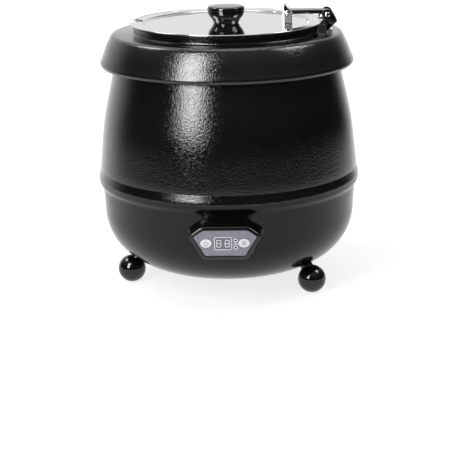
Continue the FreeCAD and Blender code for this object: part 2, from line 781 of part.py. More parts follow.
# Soup pot with a flat flange
mouth = [(pot_radius + out, pot_flange_z + down) for out, down in pot_mouth]
mouth_inside = beside(mouth, pot_wall)
mouth_inside[0] = (mouth[0][0] - pot_wall, mouth[0][1])
mouth_inside[-1] = (mouth[-1][0], pot_flange_z + pot_wall)
corner_r = pot_base_radius - pot_corner
corner_z = pot_floor_z + pot_corner
edges = lines([(0, pot_floor_z), (corner_r, pot_floor_z)])
edges += quarter(corner_r, corner_z, pot_corner)
edges += lines([(pot_base_radius, corner_z), mouth[0]])
edges += curve(mouth)
flange_edge = [(pot_flange_radius, pot_flange_z), (pot_flange_radius, pot_flange_z + pot_wall)]
edges += lines([mouth[-1]] + flange_edge + [mouth_inside[-1]])
edges += curve(mouth_inside[::-1])
edges += lines([mouth_inside[0], (pot_base_radius - pot_wall, corner_z)])
edges += quarter(corner_r, corner_z, pot_corner - pot_wall)
edges += lines([(corner_r, pot_floor_z + pot_wall), (0, pot_floor_z + pot_wall), (0, pot_floor_z)])
save("soup_pot", spun(edges))

# Lid: dished panel, stepped rim, rolled edge, ladle notch
rim_top_z = lid_rim_z + sheet
slope_start = lid_radius - lid_rim_width - lid_slope_width
slope_under = [(slope_start + lid_slope_width * across, lid_panel_z + lid_dish * up)
               for across, up in lid_slope_shape]
slope_top = [(r - lid_slope_shift, z + sheet) for r, z in slope_under]
edges = lines([(0, lid_panel_z), slope_under[0]])
edges += curve(slope_under)
edges += lines([slope_under[-1], (lid_radius, lid_rim_z), (lid_radius, rim_top_z), slope_top[-1]])
edges += curve(slope_top[::-1])
edges += lines([slope_top[0], (0, lid_top_z), (0, lid_panel_z)])
lid = fused([spun(edges), Part.makeTorus(lid_radius, lid_edge_roll, Vec(0, 0, lid_rim_z + lid_edge_roll))])
notch_half = ladle_notch_width / 2
notch_centre = lid_radius + lid_edge_roll - ladle_notch_depth + notch_half
notch = disc(notch_half, 0, far, notch_centre, 0)
notch = notch.fuse(box(notch_centre, far, -notch_half, notch_half, 0, far))
notch.rotate(Vec(0, 0, 0), Vec(0, 0, 1), ladle_notch_angle)
lid = lid.cut(notch)
cheek_inner = arm_half_width + cheek_gap
cheek_outer = cheek_inner + cheek_thickness
hinge_notch_x = lid_radius - hinge_notch_depth
hinge_notch_half = cheek_outer + hinge_notch_margin
lid = lid.cut(box(hinge_notch_x, far, -hinge_notch_half, hinge_notch_half, 0, far))
lid = lid.cut(disc(knob_screw_radius, 0, far))

knob_side = [(r, lid_top_z + up) for r, up in knob_shape]
knob_top = [(r, lid_top_z + up) for r, up in knob_crown]
edges = curve(knob_side)
edges += curve(knob_top)
edges += lines([knob_top[-1], (0, lid_top_z), knob_side[0]])
save("lid_knob", spun(edges).cut(disc(knob_screw_radius, 0, lid_top_z + knob_screw_reach)))
washer_radius, washer_height = knob_washer_size
save("knob_washer", washer(washer_radius, knob_screw_radius, lid_panel_z - washer_height, washer_height))
head_radius, head_height = knob_screw_head
head_z = lid_panel_z - washer_height - head_height
save("knob_screw", fused([disc(knob_screw_radius, head_z, lid_top_z + knob_screw_reach - head_z),
                          disc(head_radius, head_z, head_height)]))


# Lid hinge: clip on the pot flange, black bearing block, pin and arm
def pin_rod(radius, x, z, y0, y1):
    return Part.makeCylinder(radius, y1 - y0, Vec(x, y0, z), Vec(0, 1, 0))


def headed_pin(radius, head, x, z, half_length, head_height):
    """Pin across the hinge with a head on each end."""
    heads = [pin_rod(head, x, z, half_length, half_length + head_height),
             pin_rod(head, x, z, -half_length - head_height, -half_length)]
    return fused([pin_rod(radius, x, z, -half_length, half_length)] + heads)


def plate(points, y0, y1):
    """Flat plate standing across y, from its outline in x and z."""
    corners = [Vec(x, y0, z) for x, z in points]
    return Part.Face(Part.makePolygon(corners + [corners[0]])).extrude(Vec(0, y1 - y0, 0))


arm_end_x = pivot_x - arm_length
arm_under_z = pivot_z + arm_lift
arm_top_z = arm_under_z + arm_thickness
post_x = arm_end_x + post_offset
post_pin_z = arm_under_z + arm_thickness / 2
post_outer = arm_half_width + post_wall
post_ear_z = post_pin_z - post_pin_drop
post_x0 = post_x - post_half
post_x1 = post_x + post_half
post = [box(post_x0, post_x1, -post_outer, post_outer, lid_top_z, lid_top_z + post_wall)]
for y0, y1 in ((-post_outer, -arm_half_width), (arm_half_width, post_outer)):
    post.append(box(post_x0, post_x1, y0, y1, lid_top_z, post_ear_z))
    post.append(pin_rod(post_half, post_x, post_ear_z, y0, y1))
post_hole = pin_rod(post_pin_radius, post_x, post_pin_z, -far, far)
post = fused(post).cut(post_hole)
head_radius, head_height = rivet_head
rivets = []
for y in (-post_rivet_y, post_rivet_y):
    hole = disc(rivet_radius, 0, far, post_x, y)
    lid = lid.cut(hole)
    post = post.cut(hole)
    rivets.append(fused([disc(rivet_radius, lid_panel_z, sheet + post_wall, post_x, y),
                         disc(head_radius, lid_top_z + post_wall, head_height, post_x, y),
                         disc(head_radius, lid_panel_z - head_height, head_height, post_x, y)]))
save("lid_plate", lid)
save("arm_post", post)
save("post_rivets", Part.makeCompound(rivets))
save("post_pin", headed_pin(post_pin_radius, head_radius, post_x, post_pin_z, post_outer, head_height))

arm = fused([box(arm_end_x, pivot_x, -arm_half_width, arm_half_width, arm_under_z, arm_top_z),
             box(arm_end_x, arm_end_x + arm_tip_thickness, -arm_half_width, arm_half_width, arm_under_z,
                 arm_top_z + arm_tip_height),
             pin_rod(pin_radius + knuckle_wall, pivot_x, pivot_z, -arm_half_width, arm_half_width)])
save("hinge_arm", arm.cut(pin_rod(pin_radius + pin_clearance, pivot_x, pivot_z, -far, far)).cut(post_hole))

# The bearing block: two cheeks joined by a foot and by a web that stops the arm
clip_plate_z = ring_shoulder_z + clip_clearance
clip_top_z = clip_plate_z + sheet
foot_top_z = clip_top_z + block_foot_height


def from_pivot(corners):
    return [(pivot_x + across, pivot_z + up) for across, up in corners]


foot_low = [(pivot_x + across, clip_top_z) for across in cheek_foot]
foot_high = [(pivot_x + across, foot_top_z) for across in block_foot_top]
cheek_outline = from_pivot([cheek_front]) + foot_low + from_pivot([cheek_rear, cheek_crown])
web_outline = from_pivot(web_corners)
foot_outline = foot_low + foot_high[::-1]
block = [plate(web_outline, -cheek_outer, cheek_outer), plate(foot_outline, -cheek_outer, cheek_outer)]
for y0, y1 in ((-cheek_outer, -cheek_inner), (cheek_inner, cheek_outer)):
    block.append(plate(cheek_outline, y0, y1))
    block.append(pin_rod(cheek_radius, pivot_x, pivot_z, y0, y1))
hinge_block = fused(block).cut(pin_rod(pin_radius, pivot_x, pivot_z, -far, far))

# The clip: a strip round the flange, a tongue over it, a base for the block and two ears
strip_in = pot_flange_radius + strip_gap
strip_out = strip_in + strip_wall
tongue_half = arm_half_width - tongue_margin
tongue_top_z = lid_rim_z + tongue_wall
ear_x = math.sqrt((lid_radius + lid_edge_roll) ** 2 - (ear_y - ear_half_wall) ** 2) + ear_gap + ear_radius
ear_root_x = math.sqrt(strip_in ** 2 - ear_y ** 2)
ear_z = collar_top_z + ear_rise
strip = washer(strip_out, strip_in, clip_plate_z, collar_top_z - clip_plate_z)
strip = strip.common(box(0, far, -ear_y - ear_half_wall, ear_y + ear_half_wall, 0, far))
riser = washer(strip_out, strip_in, collar_top_z - tongue_wall, tongue_top_z - collar_top_z + tongue_wall)
riser = riser.common(box(0, far, -tongue_half, tongue_half, 0, far))
strip_middle = strip_in + strip_wall / 2
tongue = box(hinge_notch_x + strip_gap, strip_middle, -tongue_half, tongue_half, lid_rim_z, tongue_top_z)
clip_base = box(strip_middle, pivot_x + clip_base_reach, -cheek_outer, cheek_outer, clip_plate_z, clip_top_z)
clip = [strip, riser, tongue, clip_base]
for y in (-ear_y, ear_y):
    y0 = y - ear_half_wall
    y1 = y + ear_half_wall
    clip.append(box(ear_root_x, ear_x + ear_radius, y0, y1, clip_plate_z, collar_top_z))
    clip.append(box(ear_x - ear_radius, ear_x + ear_radius, y0, y1, collar_top_z - tongue_wall, ear_z))
    clip.append(pin_rod(ear_radius, ear_x, ear_z, y0, y1))
clip = fused(clip)
for y in (-ear_y, ear_y):
    clip = clip.cut(pin_rod(ear_hole_radius, ear_x, ear_z, y - ear_radius, y + ear_radius))
rivet_y = arm_half_width - block_rivet_margin
block_rivets = []
for y in (-rivet_y, rivet_y):
    hole = disc(block_rivet_radius, 0, pivot_z - cheek_radius, pivot_x, y)
    clip = clip.cut(hole)
    hinge_block = hinge_block.cut(hole)
    shank = disc(block_rivet_radius, clip_plate_z, foot_top_z - clip_plate_z, pivot_x, y)
    head = disc(block_rivet_head[0], foot_top_z, block_rivet_head[1], pivot_x, y)
    block_rivets.append(fused([shank, head]))
save("hinge_clip", clip)
save("hinge_block", hinge_block)
save("block_rivets", Part.makeCompound(block_rivets))
hinge_pin = headed_pin(pin_radius, pin_radius + pin_head, pivot_x, pivot_z, cheek_outer, pin_head_height)
save("hinge_pin", hinge_pin)
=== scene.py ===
# %% [markdown]
# # Soup kettle: surfaces and finishes
# The solid model of the kettle is loaded first and never moved. Each later step puts a smoother surface in
# place of one of its nodes, or gives a node a finish. Lengths of the kettle are written in millimetres, as
# on a drawing, and lengths of the studio in metres.

# %% Load the solid model
import json
import math

import bpy
import numpy as np
from mathutils import Matrix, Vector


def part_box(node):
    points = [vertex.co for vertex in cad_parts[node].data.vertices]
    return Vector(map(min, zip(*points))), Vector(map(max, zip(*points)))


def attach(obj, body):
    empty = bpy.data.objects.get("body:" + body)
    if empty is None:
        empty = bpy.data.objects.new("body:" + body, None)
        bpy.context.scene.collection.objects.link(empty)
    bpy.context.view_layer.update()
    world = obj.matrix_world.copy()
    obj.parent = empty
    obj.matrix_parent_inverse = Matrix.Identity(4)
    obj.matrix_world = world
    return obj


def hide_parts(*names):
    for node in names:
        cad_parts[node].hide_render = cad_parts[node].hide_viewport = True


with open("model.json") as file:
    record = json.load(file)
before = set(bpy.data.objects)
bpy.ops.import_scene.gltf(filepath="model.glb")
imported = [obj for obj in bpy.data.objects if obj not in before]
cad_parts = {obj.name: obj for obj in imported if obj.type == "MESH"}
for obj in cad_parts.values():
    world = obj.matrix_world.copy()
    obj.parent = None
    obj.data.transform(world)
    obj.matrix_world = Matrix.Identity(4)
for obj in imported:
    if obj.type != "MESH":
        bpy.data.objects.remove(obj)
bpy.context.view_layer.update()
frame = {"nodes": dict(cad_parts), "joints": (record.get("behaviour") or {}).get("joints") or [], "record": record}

MM = 0.001
nodes = frame["nodes"]
record = frame["record"]


def box_mm(node):
    """Lowest and highest corner of a node of the solid model, in millimetres."""
    return [np.array(corner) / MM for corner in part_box(node)]


# %% [markdown]
# ## Colours and shader nodes
# A paint maker names a colour as it looks on screen, so colours are written as sRGB hex and turned to
# linear light by one function. A second small function adds any shader node with its settings and links.
# Each finish is then a short list that can be read from top to bottom.

# %% Two helpers for finishes
def linear(hex_colour):
    """Linear red, green, blue and alpha from sRGB hex: the sRGB curve undone, channel by channel."""
    parts = [int(hex_colour[i:i + 2], 16) / 255 for i in (0, 2, 4)]
    return tuple(p / 12.92 if p <= 0.04045 else ((p + 0.055) / 1.055) ** 2.4 for p in parts) + (1.0,)


def add(tree, kind, inputs=None, **settings):
    """Add one node; settings are its options, inputs are values or linked sockets. Gives its outputs."""
    node = tree.nodes.new("ShaderNode" + kind)
    for name, value in settings.items():
        setattr(node, name, value)
    for name, value in (inputs or {}).items():
        if isinstance(value, bpy.types.NodeSocket):
            tree.links.new(value, node.inputs[name])
        else:
            node.inputs[name].default_value = value
    return node.outputs


print("middle grey is", round(linear("808080")[0], 3), "in linear light")

# %% [markdown]
# ## One recipe for every finish
# A real surface is never one flat colour. It has slow patches where hands and cloths have worn it, and a
# fine grain from how it was made. One could paint an image for each piece, but noise worked out from the
# piece's own coordinates has no seams and keeps its size. The recipe takes the size of patches and grain
# in millimetres, so each finish only says what makes it different.

# %% The recipe
# The band of the noise that is spread over the patches, and the smoothest that a finish can be.
PATCH_LOW, PATCH_HIGH, SMOOTHEST = 0.35, 0.65, 0.02


def finish(name, colour, rough, metallic=0.0, ior=1.5, rough_spread=0.04, patch_mm=18.0, worn=1.25,
           grain_mm=0.6, grain_depth_mm=0.004, grain_stretch=(1.0, 1.0, 1.0)):
    """A finish whose colour and roughness drift over patches, with a surface grain of a given depth."""
    made = bpy.data.materials.new(name)
    made.use_nodes = True
    tree = made.node_tree
    tree.nodes.clear()
    place = add(tree, "TexCoord")["Object"]
    patches = add(tree, "TexNoise", {"Vector": place, "Scale": 1 / (patch_mm * MM), "Detail": 4.0})["Fac"]
    drift = {"Value": patches, "From Min": PATCH_LOW, "From Max": PATCH_HIGH}
    share = add(tree, "MapRange", drift)["Result"]
    stretched = add(tree, "VectorMath", {0: place, 1: grain_stretch}, operation="MULTIPLY")["Vector"]
    grain = add(tree, "TexNoise", {"Vector": stretched, "Scale": 1 / (grain_mm * MM), "Detail": 2.0})["Fac"]
    base = linear(colour)
    pale = tuple(min(1.0, c * worn) for c in base[:3]) + (1.0,)
    # A colour mix has its factor at input 0, its two colours at 6 and 7, and its result at output 2.
    shade = add(tree, "Mix", {0: share, 6: base, 7: pale}, data_type="RGBA")[2]
    smooth, dull = max(rough - rough_spread, SMOOTHEST), rough + rough_spread
    rough_map = add(tree, "MapRange", {"Value": share, "To Min": smooth, "To Max": dull})["Result"]
    bump = {"Height": grain, "Distance": grain_depth_mm * MM, "Strength": 1.0}
    surface = {"Base Color": shade, "Roughness": rough_map, "Metallic": metallic, "IOR": ior,
               "Normal": add(tree, "Bump", bump)["Normal"]}
    add(tree, "OutputMaterial", {"Surface": add(tree, "BsdfPrincipled", surface)["BSDF"]})
    print("finish:", name)
    return made


# %% [markdown]
# ## Painted steel
# The ring and barrel are sprayed with a hammered enamel whose skin rises and falls every few millimetres.
# The bowl has a smoother enamel, and the hinge's plates are stove enamelled. All three are black and
# glossy, so the eye sees the room in them: what differs is how much each one breaks up what it mirrors.

# %% Paints
# Gives sparks: a lamp seen in it breaks up. The real cells are about 1 mm; at 1.9 mm they show.
hammered = finish("hammered black enamel", "060606", 0.07, ior=1.55, patch_mm=60, worn=1.5,
                  grain_mm=1.9, grain_depth_mm=0.33)
# Gives a soft dark grey image of the table; its dulled skin mirrors less than the hammered one.
satin = finish("satin black enamel", "060606", 0.16, ior=1.36, patch_mm=45, worn=1.5,
               grain_mm=1.9, grain_depth_mm=0.08)
# Gives a bright flat top and a deep black side to each plate of the hinge.
coated = finish("stoved black enamel", "070707", 0.12, patch_mm=6, worn=1.6,
                grain_mm=1.2, grain_depth_mm=0.01)

# %% [markdown]
# ## Metals
# The lid is polished to a mirror and the pot keeps the fine rings of a polishing wheel. The well is spun
# from aluminium sheet, and the hinge's bright pieces are chromed. A grain stretched sideways becomes
# turning marks, which is simpler than drawing each ring.

# %% Metals
# Gives a clear image of the wall behind, a little soft where cloths have rubbed it.
mirror_steel = finish("polished stainless steel", "c0c0be", 0.05, 1.0, rough_spread=0.02, patch_mm=32,
                      worn=1.05, grain_mm=1.2, grain_depth_mm=0.0006)
# Gives bright streaks that run round the pot.
satin_steel = finish("satin stainless steel", "bdbab6", 0.20, 1.0, rough_spread=0.012, worn=1.04,
                     grain_mm=0.5, grain_depth_mm=0.004, grain_stretch=(0.05, 0.05, 1.0))
# Gives a dull, even light grey with faint rings.
aluminium = finish("spun aluminium", "c6c6c7", 0.42, 1.0, worn=1.1,
                   grain_mm=0.9, grain_depth_mm=0.014, grain_stretch=(0.08, 0.08, 1.0))
# Gives hard black and white stripes on small bent pieces.
chrome = finish("bright chrome plate", "d2d2d2", 0.07, 1.0, rough_spread=0.03, patch_mm=5, worn=1.04,
                grain_mm=0.9, grain_depth_mm=0.003)
# Gives a warm, slightly mottled grey.
zinc = finish("zinc plated steel", "a9aaa4", 0.34, 1.0, patch_mm=5, worn=1.15,
              grain_mm=0.8, grain_depth_mm=0.006)
# Gives a brownish dark grey, as of a tube that has been hot.
hot_steel = finish("heat darkened steel", "6a625b", 0.42, 1.0, worn=1.5, grain_mm=0.8, grain_depth_mm=0.01)

# %% [markdown]
# ## Plastics, film and ink
# Knob and feet are moulded in bakelite, which takes a deep polish. The panel's housing is gloss black ABS,
# the label is a printed polyester film with a fine texture, and the keys are white ABS. Inks are thin
# layers of their own, so that their edges stay sharp at any distance.

# %% Plastics
# Gives deep black with small sharp images of the lamps.
bakelite = finish("black bakelite", "050505", 0.06, rough_spread=0.025, patch_mm=9, worn=1.6,
                  grain_mm=2.0, grain_depth_mm=0.003)
# Gives black with bright lines along every rounded edge.
gloss_abs = finish("gloss black ABS", "060606", 0.09, rough_spread=0.03, patch_mm=12, worn=1.6,
                   grain_mm=0.9, grain_depth_mm=0.004)
# Gives a grainy grey with a touch of violet. The real texture is about 0.2 mm; patches of 1.6 mm show it.
film = finish("grey polyester film", "64636d", 0.38, patch_mm=1.6, worn=1.7,
              grain_mm=0.7, grain_depth_mm=0.01)
# Gives clean white with soft shading at its edges.
white_abs = finish("white ABS", "c3c3c6", 0.33, patch_mm=4, worn=1.06, grain_mm=0.5, grain_depth_mm=0.004)
# Gives a window a little darker than the film, with a clear gloss.
smoked = finish("smoked acrylic", "57565e", 0.10, patch_mm=5, worn=1.2, grain_mm=1.0, grain_depth_mm=0.001)
# Gives small dark dots with a spark, as of lamps that are off.
lamp_resin = finish("dark lamp resin", "1d1518", 0.15, patch_mm=2, grain_depth_mm=0.002)
# Gives the green of a circuit board and the dull black of moulded resin.
circuit = finish("green circuit board", "1f5a3a", 0.40, patch_mm=5, grain_mm=0.8, grain_depth_mm=0.01)
module_black = finish("black moulding resin", "1c1c20", 0.45, patch_mm=5, grain_depth_mm=0.008)
# Gives dull black and the milky cream of undyed nylon.
black_nylon = finish("black nylon", "101010", 0.42, patch_mm=6, worn=1.5, grain_depth_mm=0.012)
pale_nylon = finish("natural nylon", "d4cebe", 0.45, patch_mm=6, worn=1.05, grain_depth_mm=0.01)

# %% Inks
# Give flat white, grey and pale marks.
ink_skin = {"patch_mm": 2, "grain_mm": 0.4, "grain_depth_mm": 0.003}
white_ink = finish("white screen ink", "e6e6ec", 0.45, worn=1.05, **ink_skin)
grey_ink = finish("grey screen ink", "6b6975", 0.45, **ink_skin)
pale_ink = finish("pale screen ink", "c4c3cc", 0.45, **ink_skin)

# %% [markdown]
# ## A finish for every node
# The record names a material slot for each node. One table turns slots into finishes, so a node that keeps
# its own mesh and a surface that replaces a node get the same look.

# %% Give every node its finish
finish_of_slot = {
    "black_hammer_paint": hammered, "black_satin_paint": satin, "black_coated_steel": coated,
    "polished_stainless": mirror_steel, "satin_stainless": satin_steel, "spun_aluminium": aluminium,
    "bright_chrome": chrome, "zinc_steel": zinc, "heater_sheath": hot_steel, "black_bakelite": bakelite,
    "gloss_black_plastic": gloss_abs, "printed_label": film, "white_key_plastic": white_abs,
    "smoked_window": smoked, "lamp_plastic": lamp_resin, "circuit_board": circuit,
    "display_plastic": module_black, "black_nylon": black_nylon, "pale_nylon": pale_nylon,
}
for part in record["subparts"]:
    slots = nodes[part["node"]].data.materials
    slots.clear()
    slots.append(finish_of_slot[part["material_slot"]])
print("finished", len(record["subparts"]), "nodes with", len(finish_of_slot), "finishes")

# %% [markdown]
# ## Curves
# A pressed or turned piece is drawn from a few measured points. A cubic curve runs smoothly through them,
# and the inner face of a sheet is the same run of points moved sideways by its thickness. Bezier curves
# would do as well, but here the points are on the curve itself, where they can be measured.

# %% Helpers for curves
# The most of a side that one eased corner may take.
LONGEST_EASE = 0.48


def on_circle(turn):
    """Points on a circle of radius 1: the cosine and the sine of each turn."""
    return np.stack([np.cos(turn), np.sin(turn)], 1)


def spline(points, count):
    """Points along a natural cubic curve through the given ones, whose bending ends in nothing."""
    p = np.asarray(points, float)
    s = np.concatenate([[0.0], np.cumsum(np.linalg.norm(np.diff(p, axis=0), axis=1))])
    h = np.diff(s)
    inner = np.arange(1, len(p) - 1)
    left = np.eye(len(p))
    left[inner, inner - 1] = h[:-1]
    left[inner, inner] = 2 * (h[:-1] + h[1:])
    left[inner, inner + 1] = h[1:]
    slope = np.diff(p, axis=0) / h[:, None]
    bend = np.linalg.solve(left, np.pad(6 * np.diff(slope, axis=0), ((1, 1), (0, 0))))
    t = np.linspace(0, s[-1], count)
    k = np.clip(np.searchsorted(s, t, "right") - 1, 0, len(p) - 2)
    a = ((s[k + 1] - t) / h[k])[:, None]
    b = ((t - s[k]) / h[k])[:, None]
    bow = (a ** 3 - a) * bend[k] + (b ** 3 - b) * bend[k + 1]
    return a * p[k] + b * p[k + 1] + bow * (h[k] ** 2 / 6)[:, None]


def rounded(points, radius, closed=False, steps=6):
    """The same run with each corner eased by a parabola that starts and ends one radius from it."""
    p = np.asarray(points, float)
    before = np.roll(p, 1, axis=0) - p
    after = np.roll(p, -1, axis=0) - p
    reach_in = np.minimum(radius / np.linalg.norm(before, axis=1), LONGEST_EASE)[:, None] * before
    reach_out = np.minimum(radius / np.linalg.norm(after, axis=1), LONGEST_EASE)[:, None] * after
    t = np.linspace(0, 1, steps + 1)[None, :, None]
    eased = p[:, None] + (1 - t) ** 2 * reach_in[:, None] + t ** 2 * reach_out[:, None]
    if closed:
        return eased.reshape(-1, 2)
    return np.concatenate([p[:1], eased[1:-1].reshape(-1, 2), p[-1:]])


def beside(points, distance):
    """The same run of points moved to its left by a distance."""
    slope = np.gradient(np.asarray(points, float), axis=0)
    slope /= np.linalg.norm(slope, axis=1)[:, None]
    return points + distance * np.stack([-slope[:, 1], slope[:, 0]], 1)


def inset(outline, distance):
    """The same clockwise outline with every side moved inward by a distance."""
    p = np.asarray(outline, float)
    along = np.roll(p, -1, axis=0) - p
    along /= np.linalg.norm(along, axis=1)[:, None]
    normal = np.stack([along[:, 1], -along[:, 0]], 1)
    last = np.roll(normal, 1, axis=0)
    return p + (normal + last) * (distance / (1 + np.sum(normal * last, 1)))[:, None]


print("a curve through 3 points:", spline([(0, 0), (1, 1), (2, 0)], 5).round(2).tolist())

# %% [markdown]
# ## Surfaces
# Every new piece is a grid of points: rows along a profile and columns round it. One function joins the
# grid into faces, closes its poles, and turns the faces outward by the sign of the volume that they
# enclose. Blender's Screw modifier could turn a profile too, but a grid also makes pieces that are not
# round.

# %% Helpers for surfaces
# Points that lie closer than this are one point.
SAME_PLACE = 1e-9


def skin(grid, closed=True, caps=False):
    """Faces over a grid whose columns close on themselves; a row of equal points becomes one pole."""
    rows, columns = grid.shape[:2]
    index = np.arange(rows * columns).reshape(rows, columns)
    pole = np.ptp(grid, axis=1).max(axis=1) < SAME_PLACE
    index[pole] = index[pole][:, :1]
    below = index if closed else index[:-1]
    above = np.roll(index, -1, axis=0) if closed else index[1:]
    quads = np.stack([below, np.roll(below, -1, 1), np.roll(above, -1, 1), above], -1).reshape(-1, 4)
    low_pole = quads[:, 0] == quads[:, 1]
    high_pole = quads[:, 2] == quads[:, 3]
    faces = [quads[~low_pole & ~high_pole], quads[low_pole][:, [0, 2, 3]], quads[high_pole][:, [0, 1, 2]]]
    if caps:
        faces += [index[:1, ::-1], index[-1:]]
    used, first = np.unique(np.concatenate([f.ravel() for f in faces]), return_inverse=True)
    points = grid.reshape(-1, 3)[used]
    renumbered = np.split(first, np.cumsum([f.size for f in faces])[:-1])
    faces = [n.reshape(f.shape) for n, f in zip(renumbered, faces) if f.size]
    volume = sum(np.sum(points[f[:, 0]] * np.cross(points[f[:, k]], points[f[:, k + 1]]))
                 for f in faces for k in range(1, f.shape[1] - 1))
    return points, [f if volume > 0 else f[:, ::-1] for f in faces]


def turned(profile, segments=224, closed=True):
    """Surface of revolution: x is radius times cosine, y is radius times sine, z is height."""
    profile = np.asarray(profile, float)
    angle = np.linspace(0, 2 * np.pi, segments, endpoint=False)
    ring = np.pad(on_circle(angle), ((0, 0), (0, 1)))
    return skin(profile[:, :1, None] * ring + profile[:, 1:, None] * np.array([0, 0, 1.0]), closed)


def sheet_of(path, thickness):
    """Closed outline of a sheet: out along the path and back along its inner face."""
    return np.concatenate([path, beside(path, thickness)[::-1]])


def together(*shapes):
    """Several shapes as one: their points in a row, and each one's faces counted on from the last."""
    starts = np.cumsum([0] + [len(points) for points, _ in shapes])
    faces = [f + start for (_, group), start in zip(shapes, starts) for f in group]
    return np.concatenate([points for points, _ in shapes]), faces


def mesh_of(name, shape, material, sharp=38.0):
    """Object with a mesh in metres; smooth, but creased over edges sharper than an angle in degrees."""
    points, faces = shape
    mesh = bpy.data.meshes.new(name)
    mesh.from_pydata((points * MM).tolist(), [], [face for group in faces for face in group.tolist()])
    mesh.validate()
    mesh.shade_smooth()
    mesh.set_sharp_from_angle(angle=math.radians(sharp))
    mesh.materials.append(material)
    made = bpy.data.objects.new(name, mesh)
    bpy.context.scene.collection.objects.link(made)
    print("made:", name, len(points), "points,", len(mesh.polygons), "faces")
    return made


def piece(name, shape, body, slot, instead_of=(), ink=None, sharp=38.0):
    """Mesh piece of the kettle that rides on a body and may stand for nodes of the solid model."""
    made = mesh_of(name, shape, ink or finish_of_slot[slot], sharp)
    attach(made, body)
    if instead_of:
        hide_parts(*instead_of)


print("a turned cone has", len(turned([(0, 0), (5, 0), (0, 9)], 32, closed=False)[0]), "points")

# %% [markdown]
# ## Bowl, barrel and ring
# These three are spun from sheet steel, so each is one profile carried round the axis. The bowl's corner
# is a squared ellipse, its rim is rolled into a bead, and the barrel drops inside that bead. The bead's
# upper face is a piece of its own because it is sprayed with the barrel's hammered enamel, while the bowl
# is satin. The ring has a turned hem, a flat shoulder and a collar. Their sizes are read from the boxes of
# the solid nodes.

# %% Lower bowl
SHEET = 1.2
FLOOR_RADIUS, FLOOR_LIP, CORNER_HEIGHT, WALL_INSET, SQUARENESS = 67.0, 12.0, 80.0, 6.6, 2 / 2.17
bowl_low, bowl_high = box_mm("lower_bowl")
RIM = bowl_high[0]
angle = np.radians(np.linspace(90, 0, 48))
corner_r = FLOOR_RADIUS + (RIM - WALL_INSET - FLOOR_RADIUS) * np.cos(angle).clip(0) ** SQUARENESS
corner_z = bowl_low[2] + CORNER_HEIGHT * (1 - np.sin(angle) ** SQUARENESS)
corner = np.stack([corner_r, corner_z], 1)
floor_edge = [(FLOOR_RADIUS - inward, bowl_low[2]) for inward in (FLOOR_LIP, FLOOR_LIP / 2)]
# Each point of the bead: how far it lies inside the rim's radius, and how far below the rim's top.
bead_inset = [(5, 30), (3.9, 27.4), (1.9, 25.2), (0.5, 22), (0, 18.5), (0.1, 16), (0.7, 13), (1.6, 9.6),
              (2.5, 6), (3.3, 3), (4.0, 0)]
bead = spline((RIM, bowl_high[2]) - np.array(bead_inset), 72)
bowl_wall = np.linspace(corner[-1], bead[0], 8)[1:-1]
bowl_path = np.concatenate([floor_edge, corner, bowl_wall, bead])
widest = int(bead[:, 0].argmax())
satin_path = bowl_path[:len(bowl_path) - len(bead) + widest + 1]
piece("spun_bowl", turned(sheet_of(satin_path, SHEET)), "kettle", "black_satin_paint", ["lower_bowl"],
      sharp=50)
piece("rolled_bead", turned(sheet_of(bead[widest:], SHEET)), "kettle", "black_hammer_paint", ["lower_bowl"],
      sharp=50)

# %% Barrel
FLAT_TOP, WELL_RIM_WIDTH, WELL_GAP = 123.0, 8.5, 0.1
shell_low, shell_high = box_mm("upper_shell")
well_low, well_high = box_mm("heating_well")
SPAN = shell_high[0] - FLAT_TOP
WELL_SIDE = well_high[0] - WELL_RIM_WIDTH
# Each point: its share of the way from the flat top out to the widest radius, and its share of the height.
barrel_share = [(0.9915, 0), (1, 0.033), (0.9683, 0.158), (0.8404, 0.414), (0.612, 0.67), (0.4884, 0.795),
                (0.3108, 0.92), (0.2135, 0.961), (0.112, 0.986), (0, 1)]
barrel = np.array(barrel_share) * (SPAN, shell_high[2] - shell_low[2]) + (FLAT_TOP, shell_low[2])
barrel_path = np.concatenate([spline(barrel, 96), [(WELL_SIDE + WELL_GAP, shell_high[2])]])
piece("barrel_shell", turned(sheet_of(barrel_path, SHEET)), "kettle", "black_hammer_paint", ["upper_shell"],
      sharp=60)

# %% Cover ring
COLLAR, COLLAR_HEIGHT, COLLAR_EASE = 119.0, 9.4, 2.6
ring_low, ring_high = box_mm("cover_ring")
SHOULDER = ring_high[2] - COLLAR_HEIGHT
# Shares as on the barrel, of the same width and of the skirt's own height.
skirt_share = [(0.8615, 0), (0.888, 0.07), (0.8594, 0.19), (0.7241, 0.57), (0.6279, 0.796), (0.5782, 0.894),
               (0.5222, 0.967), (0.4387, 1)]
skirt = np.array(skirt_share) * (SPAN, SHOULDER - ring_low[2]) + (FLAT_TOP, ring_low[2])
collar = rounded([skirt[-1], (COLLAR, SHOULDER), (COLLAR, ring_high[2])], COLLAR_EASE)
ring_path = np.concatenate([spline(skirt, 64), collar[1:]])
piece("flared_ring", turned(sheet_of(ring_path, SHEET)), "cover_ring", "black_hammer_paint", ["cover_ring"],
      sharp=60)

# %% [markdown]
# ## Pot and well
# The pot hangs by its flange in the ring, inside a well of spun aluminium that carries the heat. Both are
# plain turned shapes. Each one is drawn as a full section, outside and inside, so that its wall has a real
# thickness.

# %% Pot
POT_WALL, POT_RADIUS, POT_BASE, POT_EASE = 1.0, 108.0, 103.0, 8.0
MOUTH_INSET, MOUTH_DROP, FLANGE_ROUND = 0.4, 13.3, 0.6
pot_low, pot_high = box_mm("soup_pot")
FLANGE, FLANGE_Z = pot_high[0], pot_high[2] - POT_WALL
mouth_foot = (POT_RADIUS - MOUTH_INSET, FLANGE_Z - MOUTH_DROP)
pot_side = rounded([(0, pot_low[2]), (POT_BASE, pot_low[2]), mouth_foot], POT_EASE)
